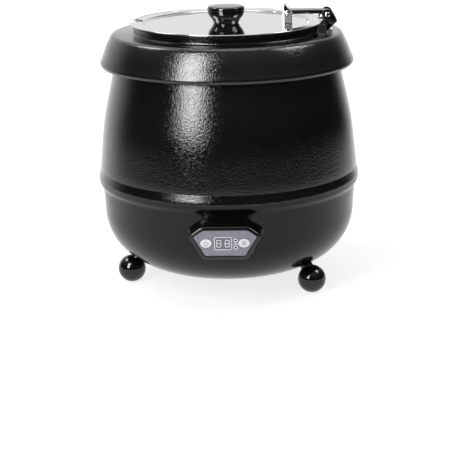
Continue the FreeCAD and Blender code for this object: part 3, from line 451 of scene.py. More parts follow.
# Each point of the mouth: how far it lies outside the pot's radius, and how far below the flange.
mouth_curve = np.array([(-MOUTH_INSET, MOUTH_DROP), (0.1, 7.3), (1.6, 2.7), (4.6, 0.4), (8.0, 0.0)])
mouth = spline(mouth_curve * (1, -1) + (POT_RADIUS, FLANGE_Z), 16)
pot_path = np.concatenate([pot_side, mouth[1:], [(FLANGE - FLANGE_ROUND, FLANGE_Z)]])
pot_inside = beside(pot_path, POT_WALL)
pot_inside[0, 0] = 0.0
pot_section = np.concatenate([pot_path, [(FLANGE, FLANGE_Z + POT_WALL / 2)], pot_inside[::-1]])
piece("steel_pot", turned(pot_section, closed=False), "soup_pot", "satin_stainless", ["soup_pot"], sharp=50)

# %% Well
WELL_WALL, WELL_FLOOR, OUTER_EASE, INNER_EASE = 1.5, 2.0, 3.0, 2.0
# The inner corners lie higher than the outer ones by SHIFT, so that the wall keeps its thickness.
STEP, CHAMFER, STEP_LOW, STEP_HIGH, SHIFT = 6.0, 9.0, 22.0, 29.0, 0.6
bottom, brim = well_low[2], well_high[2]
step_out, step_in = WELL_SIDE - STEP, WELL_SIDE - STEP - WELL_WALL
well_outside = rounded([(0, bottom), (step_out - CHAMFER, bottom), (step_out, bottom + CHAMFER),
                        (step_out, bottom + STEP_LOW), (WELL_SIDE, bottom + STEP_HIGH),
                        (WELL_SIDE, brim - WELL_WALL), (well_high[0], brim - WELL_WALL)], OUTER_EASE)
well_inside = rounded([(well_high[0], brim), (WELL_SIDE, brim), (WELL_SIDE - WELL_WALL, brim - WELL_WALL),
                       (WELL_SIDE - WELL_WALL, bottom + STEP_HIGH + SHIFT),
                       (step_in, bottom + STEP_LOW + SHIFT), (step_in, bottom + CHAMFER + SHIFT),
                       (step_in - CHAMFER - SHIFT + WELL_FLOOR, bottom + WELL_FLOOR),
                       (0, bottom + WELL_FLOOR)], INNER_EASE)
well_section = np.concatenate([well_outside, well_inside])
piece("spun_well", turned(well_section, closed=False), "kettle", "spun_aluminium", ["heating_well"])

# %% [markdown]
# ## Lid
# The lid is a shallow dish with a rolled edge. Its rim is cut back by a round notch for a ladle and by a
# straight cut at the hinge, so it is not a plain turned shape. A Boolean could cut it, but it would leave
# a hard, untidy edge. Here the surface is a function of direction and distance: in every direction the
# plate runs out to its own reach and then turns under, and only the full rim gets the rolled edge.

# %% How far the lid reaches
ROLL, LID_RISE, HINGE_CUT, HINGE_HALF = 0.8, 2.4, 117.5, 16.0
NOTCH_WAY, NOTCH_RADIUS = math.radians(176), 16.0
lid_low, lid_high = box_mm("lid_plate")
LID_OUT = lid_high[1]
LID_EDGE = LID_OUT - ROLL
notch_width = math.asin(NOTCH_RADIUS / LID_OUT)
hinge_width = math.asin(HINGE_HALF / LID_EDGE)


def lid_reach(way):
    """How far the lid runs out: to its rim, the straight hinge cut, or the round notch on the rim."""
    away = (way - NOTCH_WAY + np.pi) % (2 * np.pi) - np.pi
    turn = (way + np.pi) % (2 * np.pi) - np.pi
    half_chord = np.sqrt((NOTCH_RADIUS ** 2 - (LID_OUT * np.sin(away)) ** 2).clip(0))
    notch = np.minimum(LID_OUT * np.cos(away) - half_chord, LID_EDGE)
    reach = np.where(np.abs(turn) < hinge_width, HINGE_CUT / np.cos(turn), LID_OUT)
    return np.where(np.abs(away) < notch_width, notch, reach)


side_notch_hinge = lid_reach(np.array([np.pi / 2, NOTCH_WAY, 0.0]))
print("the lid reaches", side_notch_hinge.round(1), "mm at its side, notch and hinge")

# %% Lid surface
DISH_RADIUS, DISH_SLOPE, TOP_SHIFT, CUT_ROUND = 103.0, 6.5, 0.5, 0.4
ROLL_START, NOTCH_FINE, CORNER_FINE = 150.0, 9.0, 0.02
marks = np.degrees([NOTCH_WAY - notch_width, NOTCH_WAY + notch_width, 2 * np.pi - hinge_width, hinge_width])
notch_span = math.degrees(NOTCH_WAY) + np.linspace(-NOTCH_FINE, NOTCH_FINE, 80)
even_span = np.linspace(0, 360, 240, endpoint=False)
span = np.concatenate([even_span, notch_span, marks - CORNER_FINE, marks + CORNER_FINE])
ways = np.radians(np.unique(np.round(span, 3)))
reach = lid_reach(ways)[None, :]
full = reach > LID_EDGE
slope_share = spline([(0.0, 0.0), (0.37, 0.21), (0.65, 0.79), (1.0, 1.0)], 16)
slope = slope_share * (DISH_SLOPE, LID_RISE) + (DISH_RADIUS, lid_low[2])
share = np.concatenate([np.linspace(0, 0.83, 8), np.linspace(0.835, 1.0, 48)])[:, None]
roll_turn = np.radians(np.linspace(ROLL_START, -90, 16))[:, None]
plate_r = share * np.minimum(reach, LID_EDGE + ROLL * math.cos(math.radians(ROLL_START)))
top_z = np.interp(plate_r, slope[:, 0] - TOP_SHIFT, slope[:, 1] + SHEET)
under_z = np.interp(plate_r, slope[:, 0], slope[:, 1])
roll_z = lid_low[2] + LID_RISE + ROLL * (1 + np.sin(roll_turn))
cut_z = top_z[-1:] + (under_z[-1:] - top_z[-1:]) * np.linspace(0, 1, 16)[:, None]
cut_r = plate_r[-1:] + CUT_ROUND * np.cos(roll_turn).clip(0)
edge_r = np.where(full, LID_EDGE + ROLL * np.cos(roll_turn), cut_r)
edge_z = np.where(full, roll_z, cut_z)
lid_r = np.concatenate([plate_r, edge_r, plate_r[::-1]])
lid_z = np.concatenate([top_z, edge_z, under_z[::-1]])
lid_grid = np.stack([lid_r * np.cos(ways), lid_r * np.sin(ways), lid_z], -1)
piece("dished_lid", skin(lid_grid, closed=False), "lid", "polished_stainless", ["lid_plate"], sharp=45)

# %% [markdown]
# ## Knob and feet
# Both are moulded in bakelite. The knob narrows to a waist above the lid. Each foot is a ball with a small
# flat under it and a short collar, leaning inward, that meets the bowl. A sphere primitive would give the
# ball, but a turned profile gives the flat as well, in the same way as every other round piece.

# %% Knob
knob_low = box_mm("lid_knob")[0]
knob_side = spline([(15.8, 0), (17.4, 3.4), (21.7, 9.6), (23.2, 13.4), (23.7, 16.4), (23.6, 19.2),
                    (22.9, 20.7), (21.2, 21.5)], 44)
knob_top = spline([(21.2, 21.5), (12.0, 21.9), (0.0, 22.0)], 14)[1:]
knob_path = np.concatenate([[(0, 0)], knob_side, knob_top]) + (0, knob_low[2])
knob_path[-1, 0] = 0.0
piece("waisted_knob", turned(knob_path, 128, closed=False), "lid", "black_bakelite", ["lid_knob"])


# %% Feet
def about_z(azimuth):
    """Matrix that turns points about the upright axis: x and y mixed by the angle's cosine and sine."""
    c, s = math.cos(azimuth), math.sin(azimuth)
    return np.array([[c, -s, 0], [s, c, 0], [0, 0, 1]])


BALL, BALL_Z, NECK_EASE = 18.0, 17.0, 2.0
ball_turn = np.radians(np.linspace(-90, 90, 64))
ball_path = (BALL * on_circle(ball_turn) + (0, BALL_Z)).clip(0)
ball_path[[0, -1], 0] = 0.0
neck_path = rounded([(0, 4), (9.4, 12), (8, 17), (8, 21), (0, 21)], NECK_EASE)
for mount in record["mounts"]:
    if mount["name"].startswith("rest_"):
        x, y = np.array(mount["pos_m"][:2]) / MM
        middle = np.array([math.hypot(x, y), BALL_Z])
        lean = corner[np.argmin(np.hypot(*(corner - middle).T))] - middle
        lean_r, lean_z = lean / np.linalg.norm(lean)
        tilt = np.array([[lean_z, 0, lean_r], [0, 1, 0], [-lean_r, 0, lean_z]])
        neck_points, neck_faces = turned(neck_path, 72, closed=False)
        neck = (neck_points @ tilt.T + (0, 0, BALL_Z), neck_faces)
        points, faces = together(turned(ball_path, 96, closed=False), neck)
        placed = (points + (middle[0], 0, 0)) @ about_z(math.atan2(y, x)).T
        foot = mount["name"].replace("rest", "foot")
        piece("ball_" + foot, (placed, faces), "kettle", "black_bakelite", [foot])

# %% [markdown]
# ## Control panel
# The housing is a moulded six-sided cup with eased corners. Its rows run from the ledge under the label,
# over a wide rounded lip and down flared sides to a small foot that follows the bowl. Where each side
# meets the bowl is found by halving, which is steadier here than a shrinkwrap because the sides stay
# straight.

# %% Panel face
PANEL_REACH, PANEL_DROP, TILT = 20.0, 52.5, math.radians(4)
PANEL_Y, PANEL_Z = -round(RIM) - PANEL_REACH, bowl_high[2] - PANEL_DROP


def on_panel(flat, w):
    """Points in space from the panel's face: u to the right, v up, w outward, leaning by the tilt."""
    u, v = np.moveaxis(np.asarray(flat, float), -1, 0)
    w = np.broadcast_to(w, u.shape)
    y = PANEL_Y - w * math.cos(TILT) + v * math.sin(TILT)
    return np.stack([u, y, PANEL_Z + w * math.sin(TILT) + v * math.cos(TILT)], -1)


def six_sided(halves, levels):
    """Clockwise outline from half widths and heights of its top, middle and bottom corners."""
    right = np.stack([halves, levels], 1)
    left = right[::-1] * (-1, 1)
    return np.concatenate([left[-1:], right, left[:-1]])


front = six_sided((27.8, 42.9, 26.0), (13.8, 3.7, -24.0))
back = six_sided((32.0, 45.9, 28.8), (17.4, 4.0, -27.6))
print("the panel's face is", np.ptp(front, axis=0), "mm")

# %% Panel lip
# Each row of the lip: how far it is inset, how far it stands out, and its corner radius.
lip = [(4.4, -2.6, 2.0), (3.55, -2.6, 2.6), (3.55, -0.5, 2.6), (3.4, -0.15, 2.7), (3.1, 0.0, 2.9),
       (2.4, -0.02, 3.2), (1.2, -0.1, 3.8), (0.4, -0.25, 4.2), (-0.2, -0.6, 4.6), (-0.65, -1.2, 4.8),
       (-0.95, -2.0, 5.0), (-1.1, -2.8, 5.1)]
lip_rows = [on_panel(rounded(inset(front, d), r, True), w) for d, w, r in lip]
print("the lip has", len(lip_rows), "rows of", len(lip_rows[0]), "points")

# %% Panel sides
SIDE_GROWTH, SIDE_CORNER, BACK_CORNER = 1.15, 5.2, 6.5
SIDE_TOP, SIDE_DEPTH, SINK, FOOT_TUCK, HALVINGS = -3.4, 32.6, 0.4, 2.6, 30
start = rounded(inset(front, -SIDE_GROWTH), SIDE_CORNER, True)
away = rounded(back, BACK_CORNER, True)
along = start - np.roll(start, 1, 0)
outward = np.stack([-along[:, 1], along[:, 0]], 1) / np.linalg.norm(along, axis=1)[:, None]


def down_side(t, flare=0.0):
    """Points a share t of the way from the lip to the back outline, pushed outward by a flare."""
    return on_panel(start + t[:, None] * (away - start) + flare * outward, SIDE_TOP - SIDE_DEPTH * t)


low, high = np.zeros(len(start)), np.ones(len(start))
for _ in range(HALVINGS):
    middle = (low + high) / 2
    p = down_side(middle)
    outside = np.hypot(p[:, 0], p[:, 1]) > np.interp(p[:, 2], bowl_path[:, 1], bowl_path[:, 0]) - SINK
    low, high = np.where(outside, middle, low), np.where(outside, high, middle)
# Each row of the side: its share of the way down to the bowl, and how far it flares out there.
flares = [(0.0, 0), (0.3, 0), (0.6, 0), (0.84, 0), (0.91, 0.2), (0.95, 0.8), (0.98, 1.6), (1.0, 1.9),
          (1.0, -FOOT_TUCK)]
cup_rows = lip_rows + [down_side(low * part_way, flare) for part_way, flare in flares]
piece("panel_cup", skin(np.array(cup_rows)), "kettle", "gloss_black_plastic", ["panel_housing"], sharp=50)


# %% [markdown]
# ## Keys, marks and digits
# The keys have eased edges and sit a hair above the label. Marks are thin layers of ink: a power sign and
# three bars on the keys, a frame round the display and rings round the lamps. The digits are plain
# seven-segment eights. An image could carry all of them, but real layers keep crisp edges and stay with
# the keys as they move.

# %% Keys
def oval(u, v, half_width, half_height):
    """Clockwise ellipse: each half size times the cosine or sine of the turn."""
    turn = np.linspace(2 * np.pi, 0, 64, endpoint=False)
    return on_circle(turn) * (half_width, half_height) + (u, v)


KEY_V, KEY_HALF_WIDTH, KEY_HALF_HEIGHT, KEY_TOP = -5.0, 6.8, 5.3, 0.4
KEY_U = np.mean(box_mm("set_key"), axis=0)[0]
# Each row of a key: how far it is inset, and how far it lies above the key's top.
dome = [(0.4, -4.4), (0.4, -0.2), (0.0, -0.2), (0.05, -0.12), (0.3, -0.05), (0.9, -0.01), (1.6, 0.0)]
for key, side in (("power_key", -1), ("set_key", 1)):
    ovals = [oval(side * KEY_U, KEY_V, KEY_HALF_WIDTH - d, KEY_HALF_HEIGHT - d) for d, _ in dome]
    key_rows = [on_panel(row, KEY_TOP + w) for row, (_, w) in zip(ovals, dome)]
    piece("cap_" + key, skin(np.array(key_rows), closed=False, caps=True), key, "white_key_plastic", [key])


# %% Signs on the keys
def stroke(path, width, w, closed=False):
    """Band of ink of even width along a path: a four-sided section carried from point to point."""
    path = np.asarray(path, float)
    along = np.roll(path, -1, 0) - np.roll(path, 1, 0) if closed else np.gradient(path, axis=0)
    along = along / np.linalg.norm(along, axis=1)[:, None]
    across = np.stack([-along[:, 1], along[:, 0]], 1) * width / 2
    section = [(1, INK_LOW), (1, INK_HIGH), (-1, INK_HIGH), (-1, INK_LOW)]
    band = np.stack([on_panel(path + way * across, w + height) for way, height in section], 1)
    return skin(band, closed=closed, caps=not closed)


INK_LOW, INK_HIGH = -0.05, 0.06
SIGN_RADIUS, SIGN_DROP, SIGN_STROKE, BAR_TOP, BAR_FOOT = 2.4, 0.3, 0.7, 2.9, 0.1
MENU_HALF, MENU_STEP, MENU_STROKE = 2.5, 1.8, 0.9
arc = np.radians(np.linspace(130, 410, 40))
sign_ring = SIGN_RADIUS * on_circle(arc) + (-KEY_U, KEY_V - SIGN_DROP)
sign_bar = [(-KEY_U, KEY_V + BAR_TOP), (-KEY_U, KEY_V + BAR_FOOT)]
sign = together(stroke(sign_ring, SIGN_STROKE, KEY_TOP), stroke(sign_bar, SIGN_STROKE, KEY_TOP))
piece("power_sign", sign, "power_key", "printed_label", ink=grey_ink)
menu_lines = [[(KEY_U - MENU_HALF, KEY_V + v), (KEY_U + MENU_HALF, KEY_V + v)]
              for v in (MENU_STEP, 0.0, -MENU_STEP)]
menu = together(*[stroke(line, MENU_STROKE, KEY_TOP) for line in menu_lines])
piece("menu_bars", menu, "set_key", "printed_label", ink=grey_ink)

# %% Marks on the label
FACE, WINDOW_V, LAMP_VS = -0.6, -5.6, (-1.9, -10.7)
LAMP_RING, LAMP_STROKE, TICK_HALF = 1.9, 0.6, 2.6
FRAME_HALF, FRAME_CORNER, FRAME_STROKE = (9.9, 7.5), 0.8, 0.7
WINDOW_U = np.mean(box_mm("display_window"), axis=0)[0]
LAMP_U = np.mean(box_mm("indicator_lamps"), axis=0)[0]
frame_line = np.array([(-1, 1), (1, 1), (1, -1), (-1, -1)]) * FRAME_HALF + (WINDOW_U, WINDOW_V)
lamp_circle = LAMP_RING * on_circle(np.linspace(0, 2 * np.pi, 32, endpoint=False))
lamp_rings = [stroke(lamp_circle + (LAMP_U, v), LAMP_STROKE, FACE, True) for v in LAMP_VS]
tick_line = np.array([(-TICK_HALF, 0), (TICK_HALF, 0)]) + (LAMP_U, np.mean(LAMP_VS))
tick = stroke(tick_line, LAMP_STROKE, FACE)
piece("panel_marks", together(tick, *lamp_rings), "kettle", "printed_label", ink=white_ink)
display_frame = stroke(rounded(frame_line, FRAME_CORNER, True), FRAME_STROKE, FACE, True)
piece("display_frame", display_frame, "kettle", "printed_label", ink=pale_ink)


# %% Digits
def segment(u, v, upright, length=4.2, width=0.8):
    """One bar of a digit: a six-sided bar with pointed ends, lying or upright."""
    a, b = length / 2, width / 2
    bar = np.array([(-a, 0), (-a + b, b), (a - b, b), (a, 0), (a - b, -b), (-a + b, -b)])
    flat = (bar[:, ::-1] * (1, -1) if upright else bar) + (u, v)
    levels = [on_panel(flat, FACE + height) for height in (INK_LOW, INK_HIGH)]
    return skin(np.array(levels), closed=False, caps=True)


DIGIT_HALF, DIGIT_BAR, DIGIT_SPACING = 2.4, 4.1, 5.0
lying = [(0, v, False) for v in (1, 0, -1)]
standing = [(u, v, True) for v in (0.5, -0.5) for u in (-1, 1)]
digits = [segment(WINDOW_U + middle + DIGIT_HALF * u, WINDOW_V + DIGIT_BAR * v, upright)
          for middle in (-DIGIT_SPACING, DIGIT_SPACING) for u, v, upright in lying + standing]
piece("display_digits", together(*digits), "kettle", "display_plastic", ink=pale_ink)


# %% [markdown]
# ## Hinge
# The arm is a strap that bends up at its free end and wraps the pin at the other. The bearing block has
# two cheeks, and a ribbed bright post holds the arm to the lid. Each is a flat outline given a width, with
# its edges eased so that they catch light. A Bevel modifier would ease them too, but here the easing is
# part of the rows.

# %% Helpers for plates and pins
def plate(outline, axis, low, high, ease):
    """Flat outline given a width along an axis; its rows start inset, grow to full size and draw in."""
    steps = [(ease, low), (0.3 * ease, low + 0.3 * ease), (0.0, low + ease), (0.0, high - ease),
             (0.3 * ease, high - 0.3 * ease), (ease, high)]
    plate_rows = [np.insert(inset(outline, d), axis, at, axis=1) for d, at in steps]
    return skin(np.array(plate_rows), closed=False, caps=True)


def hull(points):
    """Smallest convex outline round the points, clockwise: the farthest point in each direction."""
    turn = np.linspace(2 * np.pi, 0, 720, endpoint=False)
    farthest = np.argmax(points @ on_circle(turn).T, axis=0)
    return points[farthest[farthest != np.roll(farthest, 1)]]


def along_y(shape, x, z):
    """A turned shape laid down so that its axis runs along y through a place in x and z."""
    points, faces = shape
    return np.stack([x - points[:, 0], points[:, 2], z + points[:, 1]], 1), faces


def pin(radius, head, half, head_height):
    """Turned pin with a domed head on each end, about its middle."""
    end = np.array([(radius, half), (head, half), (head, half + 0.6 * head_height),
                    (0.6 * head, half + head_height), (0, half + head_height)])
    return turned(rounded(np.concatenate([(end * (1, -1))[::-1], end]), 0.4), 40, closed=False)


square = np.array([(0, 0), (1, 0), (1, 1), (0, 1), (0.5, 0.5)])
print("a square has", len(hull(square)), "corners in its hull")

# %% Arm
hinge_joint = [joint for joint in frame["joints"] if joint["name"] == "lid_hinge"][0]
PIVOT_X, PIVOT_Z = np.array(hinge_joint["pos_m"])[[0, 2]] / MM
KNUCKLE, STRAP_EASE, ARM_EASE = 5.5, 1.6, 0.7
arm_low, arm_high = box_mm("hinge_arm")
ARM_HALF, TIP_X, TIP_Z = arm_high[1], arm_low[0], arm_high[2]
ARM_TOP, ARM_UNDER, ARM_ROOT = PIVOT_Z + 5.5, PIVOT_Z + 1.0, PIVOT_X - 10.3
knuckle = KNUCKLE * on_circle(np.radians(np.linspace(88, -188, 40))) + (PIVOT_X, PIVOT_Z)
strap = rounded([(ARM_ROOT, ARM_UNDER), (TIP_X + 3, ARM_UNDER), (TIP_X + 0.8, ARM_UNDER + 1.4),
                 (TIP_X, ARM_TOP + 1.5), (TIP_X + 0.9, TIP_Z - 0.3), (TIP_X + 3, TIP_Z),
                 (TIP_X + 5.4, ARM_TOP + 1.9), (TIP_X + 9, ARM_TOP), (ARM_ROOT, ARM_TOP)], STRAP_EASE)
arm = plate(np.concatenate([knuckle, strap]), 1, -ARM_HALF, ARM_HALF, ARM_EASE)
piece("strap_arm", arm, "lid", "black_coated_steel", ["hinge_arm"])

# %% Bearing block
CHEEK_WALL, CHEEK_RADIUS, CHEEK_EASE, TIE_EASE, TIE_OVERLAP = 2.6, 6.8, 0.5, 0.2, 0.5
block_low, block_high = box_mm("hinge_block")
CHEEK_OUT, CHEEK_IN = block_high[1], block_high[1] - CHEEK_WALL
TIE_HALF = CHEEK_IN + TIE_OVERLAP
PLINTH = block_low[2]
boss = CHEEK_RADIUS * on_circle(np.linspace(0, 2 * np.pi, 48, endpoint=False))
cheek_corners = [(-2.7, PLINTH - PIVOT_Z), (1.8, PLINTH - PIVOT_Z), (12.5, -8.0), (6.2, 3.0)]
cheek = hull(np.concatenate([boss, cheek_corners])) + (PIVOT_X, PIVOT_Z)
web = np.array([(7.8, -2.4), (9.6, -1.5), (12.5, -8.0), (10.9, -9.2)]) + (PIVOT_X, PIVOT_Z)
tie = np.array([(-3.0, 2.0), (3.7, 2.0), (1.8, 0.0), (-2.7, 0.0)]) + (PIVOT_X, PLINTH)
block = together(plate(cheek, 1, -CHEEK_OUT, -CHEEK_IN, CHEEK_EASE),
                 plate(cheek, 1, CHEEK_IN, CHEEK_OUT, CHEEK_EASE),
                 plate(web, 1, -TIE_HALF, TIE_HALF, TIE_EASE), plate(tie, 1, -TIE_HALF, TIE_HALF, TIE_EASE))
piece("bearing_block", block, "hinge_clip", "black_coated_steel", ["hinge_block"])
pivot = along_y(pin(2.2, 3.4, CHEEK_OUT, 1.6), PIVOT_X, PIVOT_Z)
piece("pivot_pin", pivot, "hinge_clip", "bright_chrome", ["hinge_pin"])

# %% Post on the lid
RIB_PITCH, RIB_DEPTH, EAR_WALL, EAR_DROP, EAR_EASE = 3.6, 1.0, 1.5, 0.2, 0.3
SEAT_HALF, SEAT_WALL, SEAT_OVERLAP, SEAT_EASE = 5.8, 1.5, 0.4, 0.2
post_low, post_high = box_mm("arm_post")
POST_X, POST_OUT = np.mean([post_low[0], post_high[0]]), post_high[1]
rise = np.linspace(post_low[2], ARM_TOP - EAR_DROP, 64)
ribs = RIB_DEPTH * (0.5 + 0.5 * np.cos(2 * np.pi * (rise - rise[0]) / RIB_PITCH)) - POST_OUT
inner = [(EAR_WALL - POST_OUT, rise[-1]), (EAR_WALL - POST_OUT, rise[0])]
near_ear = np.concatenate([np.stack([ribs, rise], 1), inner])
far_ear = near_ear[::-1] * (-1, 1)
seat_corners = np.array([(-SEAT_HALF, SEAT_WALL), (SEAT_HALF, SEAT_WALL), (SEAT_HALF, 0), (-SEAT_HALF, 0)])
seat = seat_corners + (POST_X, post_low[2])
ears = [plate(ear, 0, post_low[0], post_high[0], EAR_EASE) for ear in (near_ear, far_ear)]
seat_plate = plate(seat, 1, -ARM_HALF - SEAT_OVERLAP, ARM_HALF + SEAT_OVERLAP, SEAT_EASE)
piece("bright_post", together(*ears, seat_plate), "lid", "bright_chrome", ["arm_post"])
post_pin = along_y(pin(1.8, 2.8, POST_OUT, 1.0), POST_X, np.mean(box_mm("post_pin"), axis=0)[2])
piece("post_rivet_pin", post_pin, "lid", "bright_chrome", ["post_pin"])

# %% [markdown]
# ## Cord gland
# At the rear a ribbed nylon nose holds the mains cord where it would leave the bowl. Its ribs are steps in
# the radius of a cone, so it is turned like the round pieces and then laid along the line through the
# bowl's wall.

# %% Gland
BORE, THREAD, GLAND_RIB_DEPTH, GLAND_RIB_PITCH, GLAND_RIB_SHARE = 3.6, 12.0, 0.7, 4.2, 0.2
gland_low, gland_high = box_mm("cord_gland")
TIP_Y, SEAT_Y = gland_high[1], gland_low[1] + THREAD
ridge = np.linspace(SEAT_Y + 9, TIP_Y - 1, 60)
grooves = np.sin((ridge - SEAT_Y) * 2 * np.pi / GLAND_RIB_PITCH) > GLAND_RIB_SHARE
cone = np.interp(ridge, [SEAT_Y + 7, TIP_Y], [9.0, 6.5]) - GLAND_RIB_DEPTH * grooves
flange = [(BORE, gland_low[1]), (6.5, gland_low[1]), (6.5, SEAT_Y + 1), (10.5, SEAT_Y + 1),
          (10.5, SEAT_Y + 6.4), (9.9, SEAT_Y + 7), (9.0, SEAT_Y + 7.2)]
tip = [(6.5, TIP_Y - 0.5), (6.0, TIP_Y), (BORE, TIP_Y)]
nose = np.concatenate([flange, np.stack([cone, ridge], 1), tip])
gland = along_y(turned(nose, 72), 0.0, np.mean([gland_low[2], gland_high[2]]))
piece("ribbed_gland", gland, "kettle", "black_nylon", ["cord_gland"])

# %% [markdown]
# ## Camera
# The camera stands 1.7 m in front and 0.58 m up, looking a little down. Its place and its long lens were
# worked out from the kettle's own outline, so the render lines up with the picture that the kettle was
# measured from.

# %% Camera
IMAGE, FOCAL_PIXELS, SENSOR, NEAREST = 470, 1338.8, 36, 0.05
STAND = (0, -1.712, 0.583)
pitch, yaw, roll, swing = (math.radians(v) for v in (17.242, 0.2267, -0.9388, 1.8))
ahead = np.array([math.sin(yaw), math.cos(yaw), 0])
level = np.array([math.cos(yaw), -math.sin(yaw), 0])
upright = np.array([0, 0, 1.0])
forward = math.cos(pitch) * ahead - math.sin(pitch) * upright
up = math.sin(pitch) * ahead + math.cos(pitch) * upright
right = math.cos(roll) * level + math.sin(roll) * up
top = math.cos(roll) * up - math.sin(roll) * level
pose = np.eye(4)
pose[:3, :3] = about_z(swing) @ np.stack([right, top, -forward], 1)
pose[:3, 3] = about_z(swing) @ STAND
camera = bpy.data.objects.new("camera", bpy.data.cameras.new("camera"))
camera.data.sensor_width = SENSOR
camera.data.lens = SENSOR * FOCAL_PIXELS / IMAGE
camera.data.clip_start = NEAREST
camera.matrix_world = Matrix(pose.tolist())
scene = bpy.context.scene
scene.collection.objects.link(camera)
scene.camera = camera
scene.view_settings.view_transform = "Standard"
print("camera with a lens of", round(camera.data.lens), "mm")

# %% [markdown]
# ## Studio
# Black gloss shows what it mirrors, so the room matters more than the paint. The table and the wall are
# white. A black velvet curtain hangs round the front and sides, as in a product studio, so that the front
# of the kettle mirrors darkness. It is not seen by the camera, and it thins out towards the back, which
# gives the kettle's sides bright edges that fade softly. One tall soft box stands at the left, with three
# smaller ones high up.

# %% Table
TABLE_HALF = 8.0
table_corners = np.array([(-1, -1, 0), (1, -1, 0), (1, 1, 0), (-1, 1, 0)]) * TABLE_HALF / MM
paper = bpy.data.materials.new("white studio paper")
table = mesh_of("table", (table_corners, [np.array([[0, 1, 2, 3]])]), paper)

# %% White paper
# Gives plain white with the kettle's soft shadow. Near the kettle its glow is lowered to grey, a painted shade
# round the kettle that metal mirrors too; it also lets the real shadow show.
NEAR, FAR, NEAR_PAINTED_SHADE, FAR_WHITE = 0.35, 0.9, 0.8, 1.0
SHADOWED, BOUNCED = (0.2, 0.2, 0.2, 1), (0.5, 0.5, 0.5, 1)
paper.use_nodes = True
tree = paper.node_tree
tree.nodes.clear()
ray = add(tree, "LightPath")
from_middle = add(tree, "VectorMath", {0: add(tree, "TexCoord")["Object"]}, operation="LENGTH")["Value"]
# The glow rises with distance from grey near the kettle to white further out: the grey near the kettle is painted
# shade.
glow_with_painted_shade = {"Value": from_middle, "From Min": NEAR, "From Max": FAR,
             "To Min": NEAR_PAINTED_SHADE, "To Max": FAR_WHITE}
glow = add(tree, "Emission", {"Strength": add(tree, "MapRange", glow_with_painted_shade)["Result"]})["Emission"]
shadowed = add(tree, "BsdfDiffuse", {"Color": SHADOWED})["BSDF"]
seen = add(tree, "AddShader", {0: shadowed, 1: glow})["Shader"]
bounce = add(tree, "BsdfDiffuse", {"Color": BOUNCED})["BSDF"]
plain_or_mirrored = {0: ray["Is Camera Ray"], 1: ray["Is Glossy Ray"]}
looked_at = add(tree, "Math", plain_or_mirrored, operation="MAXIMUM")["Value"]
direct = add(tree, "Math", {0: looked_at, 1: ray["Is Transmission Ray"]}, operation="MAXIMUM")["Value"]
add(tree, "OutputMaterial", {"Surface": add(tree, "MixShader", {0: direct, 1: bounce, 2: seen})["Shader"]})
print("paper: white from", FAR, "m outward")

# %% Wall
scene.world = bpy.data.worlds.new("white studio wall")
scene.world.use_nodes = True
tree = scene.world.node_tree
tree.nodes.clear()
white = add(tree, "Background", {"Color": (1, 1, 1, 1), "Strength": 1.0})["Background"]
add(tree, "OutputWorld", {"Surface": white})
print("wall: plain white")

# %% Curtain
CURTAIN, CURTAIN_FOOT, CURTAIN_LEAN, OVER_TABLE = 2.6, 2.0, 0.9, 0.001
dome_path = CURTAIN * on_circle(np.radians(np.linspace(0, 90, 25))) + (0, CURTAIN_LEAN)
dome_path[-1, 0] = 0.0
curtain_path = np.concatenate([[(0, OVER_TABLE), (CURTAIN_FOOT, OVER_TABLE)], dome_path]) / MM
velvet = bpy.data.materials.new("black velvet")
curtain = mesh_of("curtain", turned(curtain_path, 96, closed=False), velvet)
curtain.visible_camera = False

# %% Velvet
# Gives darkness low down in front and at the sides; it thins out upward and over the table, and is open at
# the back.
GAP_WAY, GAP_STARTS, GAP_OPEN = (-0.26, 0.966, 0.0), 0.38, 0.85
LAID_STARTS, LAID_FULL, DENSE_LOW, DENSE_HIGH = 0.6, 1.9, 0.98, 0.35
velvet.use_nodes = True
tree = velvet.node_tree
tree.nodes.clear()
place = add(tree, "TexCoord")["Object"]
way = add(tree, "VectorMath", {0: place}, operation="NORMALIZE")["Vector"]
towards_gap = add(tree, "VectorMath", {0: way, 1: GAP_WAY}, operation="DOT_PRODUCT")["Value"]
opening = {"Value": towards_gap, "From Min": GAP_STARTS, "From Max": GAP_OPEN, "To Min": 1.0, "To Max": 0.0}
hung = add(tree, "MapRange", opening, interpolation_type="SMOOTHSTEP")["Result"]
distance = add(tree, "VectorMath", {0: place}, operation="LENGTH")["Value"]
spread = {"Value": distance, "From Min": LAID_STARTS, "From Max": LAID_FULL}
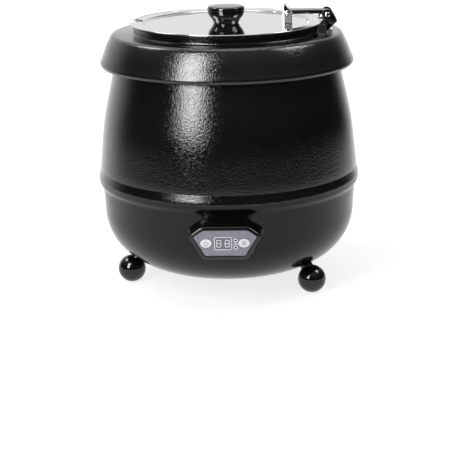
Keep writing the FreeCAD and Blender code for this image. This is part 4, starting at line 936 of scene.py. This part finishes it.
laid = add(tree, "MapRange", spread, interpolation_type="SMOOTHSTEP")["Result"]
height = add(tree, "SeparateXYZ", {0: way})["Z"]
steepness = add(tree, "Math", {0: height, 1: height}, operation="MULTIPLY")["Value"]
dense = add(tree, "MapRange", {"Value": steepness, "To Min": DENSE_LOW, "To Max": DENSE_HIGH})["Result"]
hung_and_laid = add(tree, "Math", {0: hung, 1: laid}, operation="MULTIPLY")["Value"]
cover = add(tree, "Math", {0: hung_and_laid, 1: dense}, operation="MULTIPLY")["Value"]
cloth = add(tree, "BsdfDiffuse", {"Color": (0.01, 0.01, 0.01, 1)})["BSDF"]
nothing = add(tree, "BsdfTransparent")["BSDF"]
add(tree, "OutputMaterial", {"Surface": add(tree, "MixShader", {0: cover, 1: nothing, 2: cloth})["Shader"]})
print("velvet: open towards", GAP_WAY)

# %% Soft boxes
AIM_HEIGHT = 0.2


def soft_box(name, azimuth, elevation, distance, width, height, power):
    """Rectangular lamp facing the kettle; azimuth from the front, positive to the right, in degrees."""
    a, e = math.radians(azimuth), math.radians(elevation)
    out = np.array([math.sin(a) * math.cos(e), -math.cos(a) * math.cos(e), math.sin(e)])
    lamp = bpy.data.lights.new(name, "AREA")
    lamp.shape = "RECTANGLE"
    lamp.size = width
    lamp.size_y = height
    lamp.energy = power
    made = bpy.data.objects.new(name, lamp)
    side = np.cross((0, 0, 1), out)
    side = side / np.linalg.norm(side)
    place = np.eye(4)
    place[:3, :3] = np.stack([side, np.cross(out, side), out], 1)
    place[:3, 3] = np.array([0, 0, AIM_HEIGHT]) + distance * out
    made.matrix_world = Matrix(place.tolist())
    scene.collection.objects.link(made)
    print("lamp:", name)


soft_box("tall soft box", azimuth=-32, elevation=28, distance=1.9, width=0.63, height=1.3, power=45)
soft_box("left side box", azimuth=-108, elevation=50, distance=1.9, width=0.7, height=0.6, power=14)
soft_box("right side box", azimuth=88, elevation=50, distance=1.9, width=0.7, height=0.6, power=13)
soft_box("overhead box", azimuth=180, elevation=84, distance=1.6, width=1.1, height=1.1, power=8)
